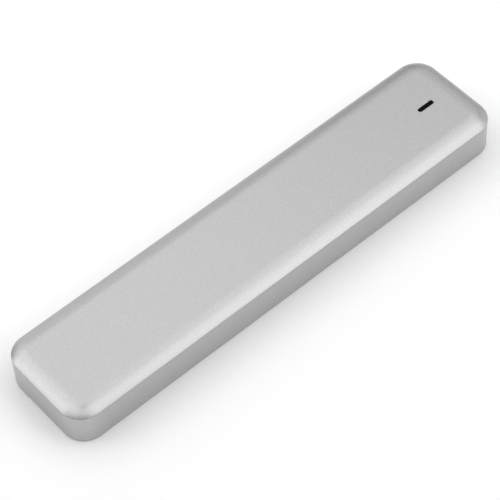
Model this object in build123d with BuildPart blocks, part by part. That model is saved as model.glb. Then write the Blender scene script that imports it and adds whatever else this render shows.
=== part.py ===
from build123d import *
import os
from math import sqrt

# A slim aluminium case with a blade solid state drive and its USB bridge board inside.
# X runs along the case, with the port and the indicator at +X. Z is up, and the case rests on z = 0.
# Sizes are in millimetres. Capitals are sizes to set, and small letters are worked out from them.

# The blade drive, a long narrow card with its contacts at its +X end
BLADE_LENGTH = 109.0
BLADE_WIDTH = 24.0
BLADE_THICKNESS = 0.8
BLADE_CORNER = 0.5
FINGER_PITCH = 1.0
FINGER_WIDTH = 0.6
FINGER_LENGTH = 3.4
FINGER_THICKNESS = 0.04
POWER_FINGERS = 6
SIGNAL_FINGERS = 12
TONGUE_MARGIN = 0.7
TONGUE_DEPTH = 4.6
KEY_WIDTH = 0.8
NOTCH_RADIUS = 1.3
# Largest share of the card's shoulder that one rounded corner may take
CORNER_SHARE = 0.4

# Chip packages
PACKAGE_HEIGHT = 1.2
PACKAGE_EDGE = 0.1
DOT_RADIUS = 0.35
DOT_DEPTH = 0.06
DOT_SIDES = 8
DOT_INSET = 0.88
FLASH_LENGTH = 14.0
FLASH_WIDTH = 18.0
FLASH_GAP = 2.0
CONTROLLER_SIZE = 14.0
CACHE_LENGTH = 8.0
CACHE_WIDTH = 12.5
CACHE_HEIGHT = 1.0

# Clearances round the blade
BLADE_SIDE_GAP = 0.3
BLADE_CORNER_GAP = 0.1
BLADE_TAIL_GAP = 0.35
BLADE_NOSE_GAP = 0.2

# The stack under the roof, from the base cover upwards
BASE_THICKNESS = 1.2
PAD_THICKNESS = 1.2
CARD_DROP = 1.8
BOARD_THICKNESS = 1.0
BOARD_POST_HEIGHT = 2.0
ROOF = 1.2

# Case walls and edges
SIDE_WALL = 1.2
CROWN_WIDTH = 4.4
CROWN_DROP = 1.5
FIELD_CORNER = 1.25
CREASE_RADIUS = 0.15
FOOT_CHAMFER = 0.3
RIM_LIP = 0.75
SEAM_GAP = 0.08

# Socket that takes the blade
SOCKET_INSERTION = 4.0
SOCKET_BACK = 2.3
SOCKET_INSET = 0.8
SOCKET_FLOOR = 1.0
SOCKET_SLOT_WIDTH = 0.5
CARD_FIT = 0.1
CONTACT_WIDTH = 0.34
CONTACT_THICKNESS = 0.15
CONTACT_BEND_LIFT = 0.04
LEAD_IN_LIFT = 0.45
LEAD_IN_INSET = 1.0

# Bridge board
BOARD_LENGTH = 28.3
BOARD_SIDE_GAP = 0.4
BOARD_FRONT_GAP = 0.2
BOARD_CORNER = 0.8
BOARD_SCREW_INSET = 2.3

# Screws
BOARD_SCREW_DIAMETER = 1.6
BOARD_SCREW_LENGTH = 2.6
BOARD_HEAD_DIAMETER = 2.8
BOARD_HEAD_HEIGHT = 0.8
BLADE_SCREW_DIAMETER = 2.0
BLADE_SCREW_LENGTH = 3.4
BLADE_HEAD_DIAMETER = 3.8
BLADE_HEAD_HEIGHT = 1.1
COVER_SCREW_DIAMETER = 2.0
COVER_SCREW_LENGTH = 5.0
COVER_HEAD_DIAMETER = 3.8
COVER_HEAD_SINK = 0.08
HOLE_CLEARANCE = 0.3
DRIVE_DEPTH = 0.55
HEAD_EDGE = 0.2
CROSS_WIDTH = 0.35
CROSS_SPAN = 0.6
STAR_TIP = 0.82
STAR_WAIST = 0.58
STAR_POINTS = 6

# Posts cast inside the roof
BOARD_POST_DIAMETER = 3.4
BLADE_POST_DIAMETER = 4.6
COVER_POST_DIAMETER = 3.6
POST_HOLE_ROOM = 0.5
SCREW_GAP = 0.8
POST_GAP = 0.5
POST_WALL_GAP = 1.3
POST_SIDE_GAP = 0.9
WEB_THICKNESS = 1.0

# USB receptacle, a two-part micro form with its straight side against the board
USB_DEPTH = 5.6
USB_RECESS = 0.3
USB_SHEET = 0.3
USB_HEIGHT = 1.95
USB_MAIN_WIDTH = 7.15
USB_FAST_WIDTH = 4.25
USB_WAIST_WIDTH = 0.9
USB_WAIST_DEPTH = 0.55
USB_MAIN_SLANT = 0.7
USB_FAST_SLANT = 0.5
USB_FLANGE = 0.9
USB_FLANGE_LENGTH = 2.4
USB_BLOCK_DEPTH = 1.6
USB_TONGUE_THICKNESS = 0.6
USB_TONGUE_INSET = 0.6
USB_TONGUE_LIFT = 0.2
USB_MAIN_TONGUE = 4.0
USB_FAST_TONGUE = 3.3
USB_PIN_PITCH = 0.65
USB_PIN_WIDTH = 0.35
USB_PIN_THICKNESS = 0.12
USB_PIN_TAIL = 0.8
PINS_PER_TONGUE = 5
PORT_GAP = 0.3
PORT_CORNER = 0.9
PORT_EDGE = 0.25

# Indicator
SLOT_FROM_END = 10.5
SLOT_LENGTH = 4.7
SLOT_WIDTH = 1.2
SLOT_EDGE = 0.08
WINDOW_FIT = 0.04
WINDOW_SINK = 0.12
FLANGE_MARGIN = 0.9
LED_LENGTH = 1.6
LED_WIDTH = 0.8
LED_HEIGHT = 0.6
LED_LENS_LENGTH = 0.96
LED_LENS_RADIUS = 0.15
LED_GAP = 0.25
LED_POCKET = 0.3

# Base cover
COVER_EDGE = 0.1
RIB_WIDTH = 0.8
RIB_HEIGHT = 0.8
RIB_GAP = 0.15
RIB_END_GAP = 4.0
HOOK_WIDTH = 10.0
HOOK_THICKNESS = 1.0
HOOK_REACH = 0.45
HOOK_LIP = 0.5
HOOK_TONGUE = 0.65
HOOK_GAP = 0.15
HOOK_LIFT = 0.05

# Soft sheets on the base cover
PAD_WIDTH = 16.0
FILM_THICKNESS = 0.2
FILM_LENGTH = 10.0
FILM_WIDTH = 19.0

# Small parts on the boards
BRIDGE_CHIP_SIZE = 8.0
BRIDGE_CHIP_HEIGHT = 0.9
CRYSTAL_LENGTH = 3.2
CRYSTAL_WIDTH = 2.5
CRYSTAL_HEIGHT = 0.7
FIRMWARE_LENGTH = 4.9
FIRMWARE_WIDTH = 3.9
FIRMWARE_HEIGHT = 1.35
FIRMWARE_STANDOFF = 0.1
LEG_PITCH = 1.27
LEG_WIDTH = 0.4
LEG_THICKNESS = 0.2
LEG_REACH = 1.0
LEG_KNEE = 0.33
LEGS_PER_SIDE = 4
REGULATOR_SIZE = 3.0
REGULATOR_HEIGHT = 0.9
INDUCTOR_SIZE = 4.0
INDUCTOR_HEIGHT = 1.2
INDUCTOR_CORNER = 0.9
SURGE_LENGTH = 1.0
SURGE_WIDTH = 2.5
SURGE_HEIGHT = 0.5
CAPACITOR_LENGTH = 1.6
CAPACITOR_WIDTH = 0.8
RESISTOR_LENGTH = 1.0
RESISTOR_WIDTH = 0.5
RESISTOR_HEIGHT = 0.35
PART_SPACING = 2.0
PART_MARGIN = 1.6

CUT_ROOM = 1.0
NEAR = 0.01

# Heights of the stack
base_top = BASE_THICKNESS
package_bottom = base_top + PAD_THICKNESS
blade_bottom = package_bottom + PACKAGE_HEIGHT
blade_top = blade_bottom + BLADE_THICKNESS
board_bottom = blade_top + CARD_DROP
board_top = board_bottom + BOARD_THICKNESS
roof_underside = board_top + BOARD_POST_HEIGHT
case_height = roof_underside + ROOF

# Receptacle, and the row that it makes with the cover posts
usb_width = USB_MAIN_WIDTH + USB_WAIST_WIDTH + USB_FAST_WIDTH
usb_outer_width = usb_width + 2 * USB_SHEET
usb_outer_height = USB_HEIGHT + 2 * USB_SHEET
neck_width = usb_outer_width + 2 * USB_FLANGE
port_row_width = neck_width + POST_GAP + 2 * (COVER_POST_DIAMETER + POST_SIDE_GAP)

# Outside and cavity, wrapped round the blade or the port's row, whichever is the wider
case_corner = FIELD_CORNER + CROWN_WIDTH
cavity_corner = case_corner - SIDE_WALL
cavity_width = max(BLADE_WIDTH + 2 * BLADE_SIDE_GAP, port_row_width)
case_width = cavity_width + 2 * SIDE_WALL
corner_reach = (cavity_corner - BLADE_CORNER_GAP) ** 2 - (cavity_corner - BLADE_SIDE_GAP) ** 2
tail_bay = cavity_corner - sqrt(corner_reach) + BLADE_TAIL_GAP
port_bay = (
    BLADE_NOSE_GAP + SOCKET_BACK + SCREW_GAP + BOARD_HEAD_DIAMETER
    + POST_GAP + COVER_POST_DIAMETER + POST_WALL_GAP
)
cavity_length = tail_bay + BLADE_LENGTH + port_bay
case_length = cavity_length + 2 * SIDE_WALL
case_end = case_length / 2
cavity_end = cavity_length / 2
crown_radius = (CROWN_WIDTH ** 2 + CROWN_DROP ** 2) / (2 * CROWN_DROP)
crown_outset = crown_radius - CROWN_WIDTH
crease_height = case_height - CROWN_DROP

# Places along the case
blade_tail = -cavity_end + tail_bay
blade_nose = blade_tail + BLADE_LENGTH
socket_mouth = blade_nose - SOCKET_INSERTION
socket_back = blade_nose + BLADE_NOSE_GAP + SOCKET_BACK
front_screw_x = socket_back + SCREW_GAP + BOARD_HEAD_DIAMETER / 2
board_shoulder = front_screw_x + BOARD_HEAD_DIAMETER / 2 + POST_GAP / 2
cover_post_x = front_screw_x + BOARD_HEAD_DIAMETER / 2 + POST_GAP + COVER_POST_DIAMETER / 2
board_front = cavity_end - BOARD_FRONT_GAP
board_tail = board_front - BOARD_LENGTH
slot_x = case_end - SLOT_FROM_END

# Receptacle, hung under the board with its mouth just inside the end wall's face
usb_front = case_end - USB_RECESS
usb_back = usb_front - USB_DEPTH
usb_middle_z = board_bottom - usb_outer_height / 2

# Places across the case
board_width = cavity_width - 2 * BOARD_SIDE_GAP
board_screw_y = board_width / 2 - BOARD_SCREW_INSET
rear_screw_x = board_tail + BOARD_SCREW_INSET
cover_post_y = neck_width / 2 + POST_GAP / 2 + COVER_POST_DIAMETER / 2
board_screw_places = [(x, y) for x in (rear_screw_x, front_screw_x) for y in (-board_screw_y, board_screw_y)]
cover_screw_places = [(cover_post_x, -cover_post_y), (cover_post_x, cover_post_y)]
blade_screw_places = [(blade_tail, 0)]

# Contact rows of the blade, with the key between the two groups
finger_count = POWER_FINGERS + SIGNAL_FINGERS
finger_span = finger_count * FINGER_PITCH
first_finger = -finger_span / 2
key_y = first_finger + POWER_FINGERS * FINGER_PITCH
finger_rows = [first_finger + n * FINGER_PITCH for n in range(finger_count + 1) if n != POWER_FINGERS]
tongue_width = finger_span + FINGER_WIDTH + 2 * TONGUE_MARGIN
finger_top = blade_top + FINGER_THICKNESS

# Packages in a row along the blade, from the contacts to the power chip beside the screw
power_x = blade_tail + BLADE_HEAD_DIAMETER / 2 + PART_SPACING + REGULATOR_SIZE / 2
controller_x = blade_nose - TONGUE_DEPTH - CONTROLLER_SIZE / 2 - 2 * FLASH_GAP
cache_x = controller_x - CONTROLLER_SIZE / 2 - 2 * FLASH_GAP - CACHE_LENGTH / 2
first_flash_x = cache_x - CACHE_LENGTH / 2 - FLASH_GAP - FLASH_LENGTH / 2
flash_row = cache_x - CACHE_LENGTH / 2 - power_x - REGULATOR_SIZE / 2
flash_count = int((flash_row - FLASH_GAP) / (FLASH_LENGTH + FLASH_GAP))
flash_places = [(first_flash_x - n * (FLASH_LENGTH + FLASH_GAP), 0) for n in range(flash_count)]
last_flash_x = flash_places[-1][0]
pad_start = last_flash_x - FLASH_LENGTH / 2
pad_end = controller_x + CONTROLLER_SIZE / 2

# Places on the bridge board
chip_x = (board_tail + socket_mouth) / 2 + BOARD_SCREW_INSET
port_row_x = (socket_back + board_front) / 2


def crowned_form(wall, roof):
    """The outside form of the case, brought in by wall at its sides and by roof at its top."""
    crown = crown_radius - roof
    outset = crown_outset - roof
    with BuildPart() as form:
        with BuildSketch(Plane.XY.offset(case_height - roof)):
            RectangleRounded(case_length + 2 * outset, case_width + 2 * outset, FIELD_CORNER + crown)
        extrude(amount=-case_height - crown)
        fillet(form.faces().sort_by(Axis.Z)[-1].edges(), crown)
        with BuildSketch():
            RectangleRounded(case_length - 2 * wall, case_width - 2 * wall, case_corner - wall)
        extrude(amount=case_height, mode=Mode.INTERSECT)
    return form.part


def pan_screws(places, seat, head_diameter, head_height, diameter, length):
    """Cross-drive screws driven upwards, with the undersides of their heads at the height seat."""
    head_bottom = seat - head_height
    with BuildPart() as screws:
        with Locations(*[(x, y, head_bottom) for x, y in places]):
            Cylinder(head_diameter / 2, head_height, align=(Align.CENTER, Align.CENTER, Align.MIN))
        chamfer(screws.edges().group_by(Axis.Z)[0], HEAD_EDGE)
        with Locations(*[(x, y, seat) for x, y in places]):
            Cylinder(diameter / 2, length, align=(Align.CENTER, Align.CENTER, Align.MIN))
        with BuildSketch(Plane.XY.offset(head_bottom)):
            with Locations(*places):
                Rectangle(CROSS_SPAN * head_diameter, CROSS_WIDTH)
                Rectangle(CROSS_WIDTH, CROSS_SPAN * head_diameter)
        extrude(amount=DRIVE_DEPTH, mode=Mode.SUBTRACT)
    return screws.part


def countersunk_screws(places, head_bottom, head_diameter, diameter, length):
    """Star-drive screws driven upwards, with their flat heads at the height head_bottom."""
    head_height = (head_diameter - diameter) / 2
    star = [
        Vector(STAR_TIP if n % 2 == 0 else STAR_WAIST, 0).rotate(Axis.Z, n * 180 / STAR_POINTS)
        for n in range(2 * STAR_POINTS)
    ]
    with BuildPart() as screws:
        with Locations(*[(x, y, head_bottom) for x, y in places]):
            Cone(head_diameter / 2, diameter / 2, head_height, align=(Align.CENTER, Align.CENTER, Align.MIN))
            Cylinder(diameter / 2, length, align=(Align.CENTER, Align.CENTER, Align.MIN))
        with BuildSketch(Plane.XY.offset(head_bottom)):
            with Locations(*places):
                Polygon(*star)
        extrude(amount=DRIVE_DEPTH, mode=Mode.SUBTRACT)
    return screws.part


def chip_set(places, length, width, height, face, side):
    """Moulded packages that stand on a board's face, above it where side is 1 and below it where it is -1."""
    with BuildPart() as chips:
        with BuildSketch(Plane.XY.offset(face)):
            with Locations(*places):
                Rectangle(length, width)
        extrude(amount=side * height)
        outer_faces = chips.faces().group_by(Axis.Z)[-1 if side > 0 else 0]
        chamfer(outer_faces.edges(), PACKAGE_EDGE)
        dot_x = length / 2 - DOT_INSET
        dot_y = width / 2 - DOT_INSET
        with BuildSketch(Plane.XY.offset(face + side * height)):
            with Locations(*[(x - dot_x, y + dot_y) for x, y in places]):
                RegularPolygon(DOT_RADIUS, DOT_SIDES)
        extrude(amount=-side * DOT_DEPTH, mode=Mode.SUBTRACT)
    return chips.part


def block_set(places, length, width, height, face, side):
    """Plain ceramic blocks that stand on a board's face, above it or below it."""
    with BuildPart() as blocks:
        with BuildSketch(Plane.XY.offset(face)):
            with Locations(*places):
                Rectangle(length, width)
        extrude(amount=side * height)
    return blocks.part


def finish(part, name):
    """Name a piece and write it to its own file."""
    part.label = name
    export_step(part, f"parts/{name}.step")


os.makedirs("parts", exist_ok=True)

# Posts for the screws, cut to the form of the case half way through its walls
with BuildPart() as posts:
    with BuildSketch(Plane.XY.offset(board_top)):
        with Locations(*board_screw_places):
            Circle(BOARD_POST_DIAMETER / 2)
    extrude(amount=case_height)
    with BuildSketch(Plane.XY.offset(blade_top)):
        with Locations(*blade_screw_places):
            Circle(BLADE_POST_DIAMETER / 2)
    extrude(amount=case_height)
    with BuildSketch(Plane.XY.offset(base_top)):
        with Locations(*cover_screw_places):
            Circle(COVER_POST_DIAMETER / 2)
    extrude(amount=case_height)
    # Webs that tie the cover posts to the long walls
    with BuildSketch(Plane.XY.offset(board_bottom)):
        for side in (-1, 1):
            with Locations((cover_post_x, side * (cover_post_y + case_width / 2) / 2)):
                Rectangle(WEB_THICKNESS, case_width / 2 - cover_post_y)
    extrude(amount=case_height)
    add(crowned_form(SIDE_WALL / 2, ROOF / 2), mode=Mode.INTERSECT)

port_plane = Plane(origin=(case_end, 0, usb_middle_z), x_dir=(0, 1, 0), z_dir=(1, 0, 0))

# One-piece housing: roof, long walls and end walls
with BuildPart() as top_housing:
    add(crowned_form(0, 0))
    chamfer(top_housing.faces().sort_by(Axis.Z)[0].edges(), FOOT_CHAMFER)
    crease = top_housing.edges().filter_by_position(Axis.Z, crease_height - NEAR, crease_height + NEAR)
    fillet(crease, CREASE_RADIUS)
    add(crowned_form(SIDE_WALL, ROOF), mode=Mode.SUBTRACT)
    # Step that the base cover drops into
    with BuildSketch():
        RectangleRounded(case_length - 2 * RIM_LIP, case_width - 2 * RIM_LIP, case_corner - RIM_LIP)
    extrude(amount=BASE_THICKNESS, mode=Mode.SUBTRACT)
    add(posts.part)
    # Tapped holes in the posts
    with BuildSketch(Plane.XY.offset(board_top)):
        with Locations(*board_screw_places):
            Circle(BOARD_SCREW_DIAMETER / 2)
    extrude(amount=BOARD_SCREW_LENGTH - BOARD_THICKNESS + POST_HOLE_ROOM, mode=Mode.SUBTRACT)
    with BuildSketch(Plane.XY.offset(blade_top)):
        with Locations(*blade_screw_places):
            Circle(BLADE_SCREW_DIAMETER / 2)
    extrude(amount=BLADE_SCREW_LENGTH - BLADE_THICKNESS + POST_HOLE_ROOM, mode=Mode.SUBTRACT)
    with BuildSketch(Plane.XY.offset(base_top)):
        with Locations(*cover_screw_places):
            Circle(COVER_SCREW_DIAMETER / 2)
    extrude(amount=COVER_SCREW_LENGTH - BASE_THICKNESS + POST_HOLE_ROOM, mode=Mode.SUBTRACT)
    # Slot for the indicator
    with BuildSketch(Plane.XY.offset(case_height)):
        with Locations((slot_x, 0)):
            SlotOverall(SLOT_LENGTH, SLOT_WIDTH)
    extrude(amount=-ROOF - CUT_ROOM, mode=Mode.SUBTRACT)
    # Opening for the plug
    with BuildSketch(port_plane):
        RectangleRounded(usb_outer_width + 2 * PORT_GAP, usb_outer_height + 2 * PORT_GAP, PORT_CORNER)
    extrude(amount=-SIDE_WALL - CUT_ROOM, mode=Mode.SUBTRACT)
    # Pocket in the blank end wall for the hook of the base cover
    with Locations((-cavity_end, 0, base_top + HOOK_LIP)):
        Box(
            2 * (HOOK_REACH + HOOK_GAP),
            HOOK_WIDTH + 2 * HOOK_GAP,
            HOOK_LIFT + HOOK_TONGUE + HOOK_GAP,
            align=(Align.CENTER, Align.CENTER, Align.MIN),
            mode=Mode.SUBTRACT,
        )
    port_edges = top_housing.faces().filter_by(Plane.YZ).sort_by(Axis.X)[-1].inner_wires().edges()
    chamfer(port_edges, PORT_EDGE)
    slot_edges = top_housing.faces().filter_by(Plane.XY).sort_by(Axis.Z)[-1].inner_wires().edges()
    chamfer(slot_edges, SLOT_EDGE)
finish(top_housing.part, "top_housing")

# Base cover: a plate with two stiffening ribs, a hook at one end and two countersunk holes at the other
cover_inset = RIM_LIP + SEAM_GAP
rib_length = 2 * (cavity_end - cavity_corner - RIB_END_GAP)
rib_y = cavity_width / 2 - RIB_GAP - RIB_WIDTH / 2
hook_face = -cavity_end + HOOK_GAP
hook_tip = -cavity_end - HOOK_REACH
hook_bottom = base_top + HOOK_LIP + HOOK_LIFT
hook_top = hook_bottom + HOOK_TONGUE
with BuildPart() as base_cover:
    with BuildSketch():
        RectangleRounded(case_length - 2 * cover_inset, case_width - 2 * cover_inset, case_corner - cover_inset)
    extrude(amount=BASE_THICKNESS)
    chamfer(base_cover.faces().sort_by(Axis.Z)[0].edges(), COVER_EDGE)
    with BuildSketch(Plane.XY.offset(base_top)):
        with Locations((0, -rib_y), (0, rib_y)):
            Rectangle(rib_length, RIB_WIDTH)
    extrude(amount=RIB_HEIGHT)
    with BuildSketch(Plane.XZ):
        with BuildLine():
            Polyline(
                (hook_face, base_top - BASE_THICKNESS / 2),
                (hook_face, hook_bottom),
                (hook_tip, hook_bottom),
                (hook_tip, hook_top),
                (hook_face + HOOK_THICKNESS, hook_top),
                (hook_face + HOOK_THICKNESS, base_top - BASE_THICKNESS / 2),
                close=True,
            )
        make_face()
    extrude(amount=HOOK_WIDTH / 2, both=True)
    with Locations(Plane(origin=(0, 0, 0), x_dir=(1, 0, 0), z_dir=(0, 0, -1))):
        with Locations(*cover_screw_places):
            CounterSinkHole(
                (COVER_SCREW_DIAMETER + HOLE_CLEARANCE) / 2,
                COVER_HEAD_DIAMETER / 2 + COVER_HEAD_SINK,
                depth=BASE_THICKNESS + CUT_ROOM,
                counter_sink_angle=90,
            )
finish(base_cover.part, "base_cover")

cover_screws = countersunk_screws(
    cover_screw_places, COVER_HEAD_SINK, COVER_HEAD_DIAMETER, COVER_SCREW_DIAMETER, COVER_SCREW_LENGTH
)
finish(cover_screws, "cover_screws")

# Smoked window that fills the slot, with a flange glued under the roof
flange_bottom = board_top + LED_HEIGHT + LED_GAP
with BuildPart() as light_pipe:
    with BuildSketch(Plane.XY.offset(flange_bottom)):
        with Locations((slot_x, 0)):
            Rectangle(SLOT_LENGTH + 2 * FLANGE_MARGIN, SLOT_WIDTH + 2 * FLANGE_MARGIN)
    extrude(amount=roof_underside - flange_bottom)
    with BuildSketch(Plane.XY.offset(roof_underside)):
        with Locations((slot_x, 0)):
            SlotOverall(SLOT_LENGTH - 2 * WINDOW_FIT, SLOT_WIDTH - 2 * WINDOW_FIT)
    extrude(amount=ROOF - WINDOW_SINK)
    with Locations((slot_x, 0, flange_bottom)):
        Box(LED_LENGTH, LED_WIDTH, 2 * LED_POCKET, mode=Mode.SUBTRACT)
finish(light_pipe.part, "light_pipe")

# Indicator lamp with its lens dome
with BuildPart() as indicator_led:
    with Locations((slot_x, 0, board_top)):
        Box(LED_LENGTH, LED_WIDTH, LED_HEIGHT / 2, align=(Align.CENTER, Align.CENTER, Align.MIN))
    with Locations((slot_x, 0, board_top + LED_HEIGHT / 2)):
        Box(LED_LENS_LENGTH, LED_WIDTH, LED_HEIGHT / 2, align=(Align.CENTER, Align.CENTER, Align.MIN))
    fillet(indicator_led.edges().group_by(Axis.Z)[-1].filter_by(Axis.Y), LED_LENS_RADIUS)
finish(indicator_led.part, "indicator_led")

# Bridge board: full width over the blade, with a neck between the cover posts
with BuildPart() as bridge_board:
    with BuildSketch(Plane.XY.offset(board_bottom)) as board_outline:
        with BuildLine():
            Polyline(
                (board_tail, -board_width / 2),
                (board_shoulder, -board_width / 2),
                (board_shoulder, -neck_width / 2),
                (board_front, -neck_width / 2),
                (board_front, neck_width / 2),
                (board_shoulder, neck_width / 2),
                (board_shoulder, board_width / 2),
                (board_tail, board_width / 2),
                close=True,
            )
        make_face()
        chamfer(board_outline.vertices(), BOARD_CORNER)
        with Locations(*board_screw_places):
            Circle((BOARD_SCREW_DIAMETER + HOLE_CLEARANCE) / 2, mode=Mode.SUBTRACT)
    extrude(amount=BOARD_THICKNESS)
finish(bridge_board.part, "bridge_board")

board_screws = pan_screws(
    board_screw_places, board_bottom, BOARD_HEAD_DIAMETER, BOARD_HEAD_HEIGHT,
    BOARD_SCREW_DIAMETER, BOARD_SCREW_LENGTH,
)
finish(board_screws, "board_screws")


def usb_section():
    """The mouth of the receptacle, drawn flat: straight above, and slanted and waisted below."""
    left = -usb_width / 2
    waist_left = left + USB_MAIN_WIDTH
    waist_right = waist_left + USB_WAIST_WIDTH
    right = usb_width / 2
    top = USB_HEIGHT / 2
    bottom = -USB_HEIGHT / 2
    with BuildSketch() as section:
        with BuildLine():
            Polyline(
                (left, top),
                (left, bottom + USB_MAIN_SLANT),
                (left + USB_MAIN_SLANT, bottom),
                (waist_left - USB_WAIST_DEPTH, bottom),
                (waist_left, bottom + USB_WAIST_DEPTH),
                (waist_right, bottom + USB_WAIST_DEPTH),
                (waist_right + USB_WAIST_DEPTH / 2, bottom),
                (right - USB_FAST_SLANT, bottom),
                (right, bottom + USB_FAST_SLANT),
                (right, top),
                close=True,
            )
        make_face()
    return section.sketch


mouth_plane = Plane(origin=(usb_front, 0, usb_middle_z), x_dir=(0, 1, 0), z_dir=(1, 0, 0))
main_tongue_y = -usb_width / 2 + USB_MAIN_WIDTH / 2
fast_tongue_y = usb_width / 2 - USB_FAST_WIDTH / 2
tongue_z = usb_middle_z + USB_TONGUE_LIFT
tongue_bottom = tongue_z - USB_TONGUE_THICKNESS / 2
pin_steps = [n - (PINS_PER_TONGUE - 1) / 2 for n in range(PINS_PER_TONGUE)]
pin_rows = [middle + step * USB_PIN_PITCH for middle in (main_tongue_y, fast_tongue_y) for step in pin_steps]

# Folded sheet shell of the receptacle, with a soldered flange at each side
with BuildPart() as usb_shell:
    with BuildSketch(mouth_plane):
        add(usb_section())
        offset(amount=USB_SHEET, kind=Kind.INTERSECTION)
    extrude(amount=-USB_DEPTH)
    with BuildSketch(mouth_plane):
        add(usb_section())
    extrude(amount=-USB_DEPTH, mode=Mode.SUBTRACT)
    with BuildSketch(Plane.XY.offset(board_bottom)):
        for side in (-1, 1):
            with Locations((usb_back + USB_DEPTH / 2, side * (usb_outer_width - USB_SHEET + USB_FLANGE) / 2)):
                Rectangle(USB_FLANGE_LENGTH, USB_FLANGE + USB_SHEET)
    extrude(amount=-USB_SHEET)
    with BuildSketch(mouth_plane):
        add(usb_section())
    extrude(amount=-USB_DEPTH, mode=Mode.SUBTRACT)
finish(usb_shell.part, "usb_shell")

# Ten contacts that lie under the tongues, leave at the back and turn up to the board
pin_path_z = tongue_bottom - USB_PIN_THICKNESS / 2
pin_back = usb_back - USB_PIN_THICKNESS
pin_foot_z = board_bottom - USB_PIN_THICKNESS / 2
with BuildPart() as usb_contacts:
    for row in pin_rows:
        with BuildSketch(Plane.XZ.offset(-row)):
            with BuildLine():
                Polyline(
                    (usb_front - 2 * USB_TONGUE_INSET, pin_path_z),
                    (pin_back, pin_path_z),
                    (pin_back, pin_foot_z),
                    (pin_back - USB_PIN_TAIL, pin_foot_z),
                )
            trace(line_width=USB_PIN_THICKNESS)
    extrude(amount=USB_PIN_WIDTH / 2, both=True)
finish(usb_contacts.part, "usb_contacts")

# Insulator moulded round the contacts: a block at the back with two tongues
with BuildPart() as usb_insulator:
    with BuildSketch(mouth_plane.offset(-USB_DEPTH)):
        add(usb_section())
    extrude(amount=USB_BLOCK_DEPTH)
    with BuildSketch(mouth_plane.offset(-USB_DEPTH)):
        for middle, width in ((main_tongue_y, USB_MAIN_TONGUE), (fast_tongue_y, USB_FAST_TONGUE)):
            with Locations((middle, USB_TONGUE_LIFT)):
                Rectangle(width, USB_TONGUE_THICKNESS)
    extrude(amount=USB_DEPTH - USB_TONGUE_INSET)
    add(usb_contacts.part, mode=Mode.SUBTRACT)
finish(usb_insulator.part, "usb_insulator")

# Socket: a block with a mouth for the blade and a slot for each contact
socket_depth = socket_back - socket_mouth
socket_width = BLADE_WIDTH - 2 * SOCKET_INSET
socket_bottom = blade_bottom - CARD_FIT - SOCKET_FLOOR
with BuildPart() as blade_socket:
    with BuildSketch(Plane.XY.offset(socket_bottom)):
        with Locations((socket_mouth + socket_depth / 2, 0)):
            Rectangle(socket_depth, socket_width)
    extrude(amount=board_bottom - socket_bottom)
    with BuildSketch(Plane.XY.offset(blade_bottom - CARD_FIT)):
        with Locations((blade_nose + BLADE_NOSE_GAP, 0)):
            Rectangle(socket_depth, tongue_width + 2 * CARD_FIT, align=(Align.MAX, Align.CENTER))
        with Locations((blade_nose + BLADE_NOSE_GAP, key_y)):
            Rectangle(
                BLADE_NOSE_GAP + SOCKET_INSERTION - CARD_FIT,
                KEY_WIDTH - 2 * CARD_FIT,
                align=(Align.MAX, Align.CENTER),
                mode=Mode.SUBTRACT,
            )
    extrude(amount=BLADE_THICKNESS + 2 * CARD_FIT, mode=Mode.SUBTRACT)
    with BuildSketch(Plane.XY.offset(blade_top)):
        with Locations(*[(socket_back, row) for row in finger_rows]):
            Rectangle(socket_depth - CARD_FIT, SOCKET_SLOT_WIDTH, align=(Align.MAX, Align.CENTER))
    extrude(amount=CARD_DROP, mode=Mode.SUBTRACT)
finish(blade_socket.part, "blade_socket")

# Spring contacts: a foot on the board, a slope down to the finger and a lifted lead-in
spring_z = finger_top + CONTACT_THICKNESS / 2
foot_z = board_bottom - CONTACT_THICKNESS / 2
with BuildPart() as socket_contacts:
    for row in finger_rows:
        with BuildSketch(Plane.XZ.offset(-row)):
            with BuildLine():
                Polyline(
                    (socket_back + SCREW_GAP - CARD_FIT, foot_z),
                    (blade_nose + BLADE_NOSE_GAP, foot_z),
                    (blade_nose - SOCKET_INSERTION / 2, spring_z + CONTACT_BEND_LIFT),
                    (socket_mouth + LEAD_IN_INSET, spring_z + LEAD_IN_LIFT),
                )
            trace(line_width=CONTACT_THICKNESS)
    extrude(amount=CONTACT_WIDTH / 2, both=True)
finish(socket_contacts.part, "socket_contacts")

# Blade: a long card with a keyed tongue and a half-round notch for its screw
tongue_start = blade_nose - TONGUE_DEPTH
shoulder = (BLADE_WIDTH - tongue_width) / 2
with BuildPart() as blade_board:
    with BuildSketch(Plane.XY.offset(blade_bottom)) as blade_outline:
        with BuildLine():
            Polyline(
                (blade_tail, -BLADE_WIDTH / 2),
                (tongue_start, -BLADE_WIDTH / 2),
                (tongue_start, -tongue_width / 2),
                (blade_nose, -tongue_width / 2),
                (blade_nose, tongue_width / 2),
                (tongue_start, tongue_width / 2),
                (tongue_start, BLADE_WIDTH / 2),
                (blade_tail, BLADE_WIDTH / 2),
                close=True,
            )
        make_face()
        fillet(blade_outline.vertices(), min(BLADE_CORNER, CORNER_SHARE * shoulder))
        with Locations((blade_nose, key_y)):
            Rectangle(2 * SOCKET_INSERTION, KEY_WIDTH, mode=Mode.SUBTRACT)
        with Locations(*blade_screw_places):
            Circle(NOTCH_RADIUS, mode=Mode.SUBTRACT)
    extrude(amount=BLADE_THICKNESS)
finish(blade_board.part, "blade_board")

finger_middle = blade_nose - BLADE_CORNER - FINGER_LENGTH / 2
edge_fingers = block_set(
    [(finger_middle, row) for row in finger_rows], FINGER_LENGTH, FINGER_WIDTH, FINGER_THICKNESS, blade_top, 1
)
finish(edge_fingers, "edge_fingers")

flash_chips = chip_set(flash_places, FLASH_LENGTH, FLASH_WIDTH, PACKAGE_HEIGHT, blade_bottom, -1)
finish(flash_chips, "flash_chips")

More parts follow.
